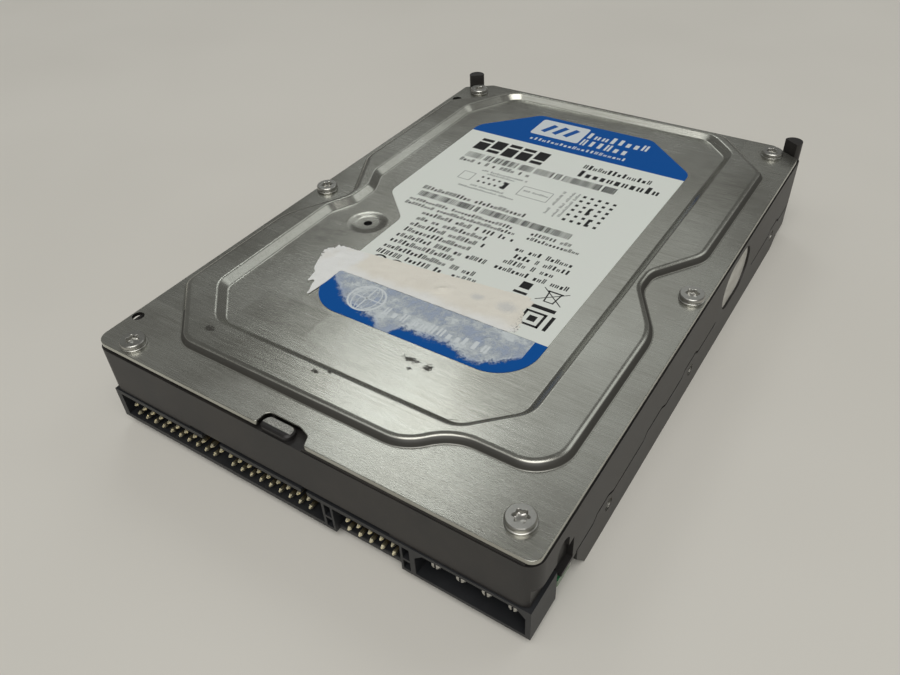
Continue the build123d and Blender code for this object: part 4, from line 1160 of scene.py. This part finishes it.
def shapeTree(shape, material):
    # one ready shape on every point, turned by a random angle about Z
    tree, entry = geometryTree("setOnPoints", {"Turn": ("Float", 3.0), "Seed": ("Int", 3)})
    model = tree.add("GeometryNodeObjectInfo", {"transform_space": "ORIGINAL"},
                     {"Object": shape}).out("Geometry")
    low = tree.add("ShaderNodeCombineXYZ", sockets={2: 0 - entry.out("Turn")})
    high = tree.add("ShaderNodeCombineXYZ", sockets={2: entry.out("Turn")})
    turn = tree.add("FunctionNodeRandomValue", {"data_type": "FLOAT_VECTOR"},
                    {0: low, 1: high, "Seed": entry.out("Seed")})
    placed = tree.add("GeometryNodeInstanceOnPoints", sockets={
        "Points": entry.out("Geometry"), "Instance": model, "Rotation": turn})
    closeTree(tree, placed, material)
    return tree


def makeCoverScrews():
    shape = screwShape(coverScrew)
    tree = shapeTree(shape, finishes["screw_steel"])
    points = [(x, y, cover["top"]) for x, y in coverScrew["places"]]
    grow("coverScrewHeads", points, [], tree, {"Turn": 3.0, "Seed": 5}, finishes["screw_steel"],
         replaced="cover_screws", smooth=38)
    bpy.data.objects.remove(shape)


pin = {"side": 0.64, "front": -73.2, "back": -61.6, "tip": 0.55, "tipShare": 0.45, "pitch": 2.54,
       "rows": (6.90, 4.36), "dataStart": -45.12, "dataColumns": 20, "keyColumn": 10,
       "jumperStart": 12.40, "jumperColumns": 5}


def pinTree(material):
    # square pin with a tapered tip, pointing along -Y from each point
    tree, entry = geometryTree("squarePins", {
        "Half Diagonal": ("Float", 0.00045), "Tip Share": ("Float", 0.45), "Tip Length": ("Float", 0.0005),
        "Length": ("Float", 0.0116)})
    diagonal = entry.out("Half Diagonal")
    shaftLength = entry.out("Length") - entry.out("Tip Length")
    shaft = tree.add("GeometryNodeMeshCone", sockets={
        "Vertices": 4, "Radius Top": diagonal, "Radius Bottom": diagonal, "Depth": shaftLength})
    tip = tree.add("GeometryNodeMeshCone", sockets={
        "Vertices": 4, "Radius Top": diagonal * entry.out("Tip Share"), "Radius Bottom": diagonal,
        "Depth": entry.out("Tip Length")})
    lift = tree.add("ShaderNodeCombineXYZ", sockets={2: shaftLength})
    raised = tree.add("GeometryNodeTransform", sockets={0: tip, "Translation": lift})
    whole = tree.add("GeometryNodeJoinGeometry", sockets={0: [shaft, raised]})
    welded = tree.add("GeometryNodeMergeByDistance", sockets={0: whole, "Distance": 1e-6})
    square = tree.add("GeometryNodeTransform", sockets={0: welded, "Rotation": (0, 0, math.pi / 4)})
    laid = tree.add("GeometryNodeTransform", sockets={0: square, "Rotation": (math.pi / 2, 0, 0)})
    placed = tree.add("GeometryNodeInstanceOnPoints",
                      sockets={"Points": entry.out("Geometry"), "Instance": laid})
    closeTree(tree, placed, material)
    return tree


def makePins():
    tree = pinTree(finishes["gold_pin"])
    values = {"Half Diagonal": pin["side"] / math.sqrt(2) * mm, "Tip Share": pin["tipShare"],
              "Tip Length": pin["tip"] * mm, "Length": (pin["back"] - pin["front"]) * mm}
    data = [(pin["dataStart"] + pin["pitch"] * k, pin["back"], z) for k in range(pin["dataColumns"])
            for z in pin["rows"] if not (k == pin["keyColumn"] and z == pin["rows"][1])]
    jumpers = [(pin["jumperStart"] + pin["pitch"] * k, pin["back"], z) for k in range(pin["jumperColumns"])
               for z in pin["rows"]]
    grow("dataPins", data, [], tree, values, finishes["gold_pin"], replaced="data_pins")
    grow("jumperPins", jumpers, [], tree, values, finishes["gold_pin"], replaced="jumper_pins")


shelf = {"top": 3.0, "thickness": 0.9, "edge": 0.15, "strip": 0.05,
         "outline": [(9.15, -72.4, 0.3), (25.05, -72.4, 0.3), (25.05, -62.4, 0.3), (9.15, -62.4, 0.3)]}


def makeShelf():
    # plastic sill under the jumper pins, with a rounded upper edge
    skin = Skin()
    edge = evenPath(roundedPath(shelf["outline"], 0.1), 240)
    rim, lip = rolledEdge(skin, edge, shelf["top"], shelf["edge"])
    flat = skin.loop(inset(edge, [shelf["edge"] + shelf["strip"]] * len(edge)), shelf["top"])
    skin.bridge(lip, flat)
    skin.fill(flat)
    skin.solid(shelf["thickness"], [rim])
    makePiece("jumperSill", skin.points, skin.faces, finishes["socket_plastic"])


print("screws and pins")
makeCoverScrews()
makePins()
makeShelf()


# floor, light and camera

room = {"floorHalf": 4.0, "floorDark": shade(0.70, 0.68, 0.63), "floorLight": shade(0.74, 0.72, 0.67),
        "air": shade(1.0, 0.99, 0.95), "airStrength": 0.15}


def makeStage():
    floor = bpy.data.meshes.new("floor")
    half = room["floorHalf"]
    corners = [(-half, -half, 0), (half, -half, 0), (half, half, 0), (-half, half, 0)]
    floor.from_pydata(corners, [], [(0, 1, 2, 3)])
    floor.materials.append(paleFloor(room["floorDark"], room["floorLight"]))
    ground = bpy.data.objects.new("floor", floor)
    bpy.context.scene.collection.objects.link(ground)
    world = bpy.data.worlds.new("softRoom")
    world.use_nodes = True
    background = world.node_tree.nodes["Background"]
    background.inputs["Color"].default_value = room["air"]
    background.inputs["Strength"].default_value = room["airStrength"]
    bpy.context.scene.world = world
    bpy.context.scene.view_settings.view_transform = "Standard"


warmWhite, coolWhite, greenWhite = (1.0, 0.985, 0.95), (0.97, 1.0, 0.98), (0.98, 1.0, 0.97)
lights = {
    # place, width, height, power and tone; the last six are seen as soft bands in the steel
    "overhead": ((0.55, -0.9, 1.7), 1.6, 1.6, 25.5, warmWhite),
    "window": ((-0.73, 1.43, 1.39), 1.04, 0.78, 1.35, coolWhite),
    "brightPane": ((-0.89, 0.86, 1.43), 0.5, 0.40, 0.45, coolWhite),
    "leftStrip": ((-0.92, 0.84, 1.41), 0.07, 0.5, 0.35, coolWhite),
    "rightStrip": ((-0.72, 0.92, 1.41), 0.06, 0.5, 0.35, coolWhite),
    "rightWindow": ((0.74, 1.06, 1.22), 0.85, 0.85, 1.8, coolWhite),
    "leftPanel": ((-0.75, -0.77, 1.5), 0.6, 0.6, 1.0, greenWhite),
}


def makeLights():
    # area lights, all aimed at the middle of the drive
    for name, (place, wide, high, power, tone) in lights.items():
        lamp = bpy.data.lights.new(name, "AREA")
        lamp.shape = "RECTANGLE"
        lamp.size = wide
        lamp.size_y = high
        lamp.energy = power
        lamp.color = tone
        box = bpy.data.objects.new(name, lamp)
        box.location = place
        box.rotation_euler = (-Vector(place)).to_track_quat("-Z", "Y").to_euler()
        bpy.context.scene.collection.objects.link(box)


view = {"place": (79.38, -132.49, 123.02), "azimuth": 35.18, "elevation": 40.38, "roll": -3.27,
        "lens": 31.39, "sensor": 36, "clipStart": 0.01}


def makeCamera():
    camera = bpy.data.cameras.new("camera")
    camera.lens = view["lens"]
    camera.sensor_width = view["sensor"]
    camera.clip_start = view["clipStart"]
    eye = bpy.data.objects.new("camera", camera)
    turn = (Matrix.Rotation(math.radians(view["azimuth"]), 4, "Z")
            @ Matrix.Rotation(math.radians(90 - view["elevation"]), 4, "X")
            @ Matrix.Rotation(math.radians(view["roll"]), 4, "Z"))
    eye.matrix_world = Matrix.Translation(Vector(view["place"]) * mm) @ turn
    bpy.context.scene.collection.objects.link(eye)
    bpy.context.scene.camera = eye


print("stage")
makeStage()
makeLights()
makeCamera()
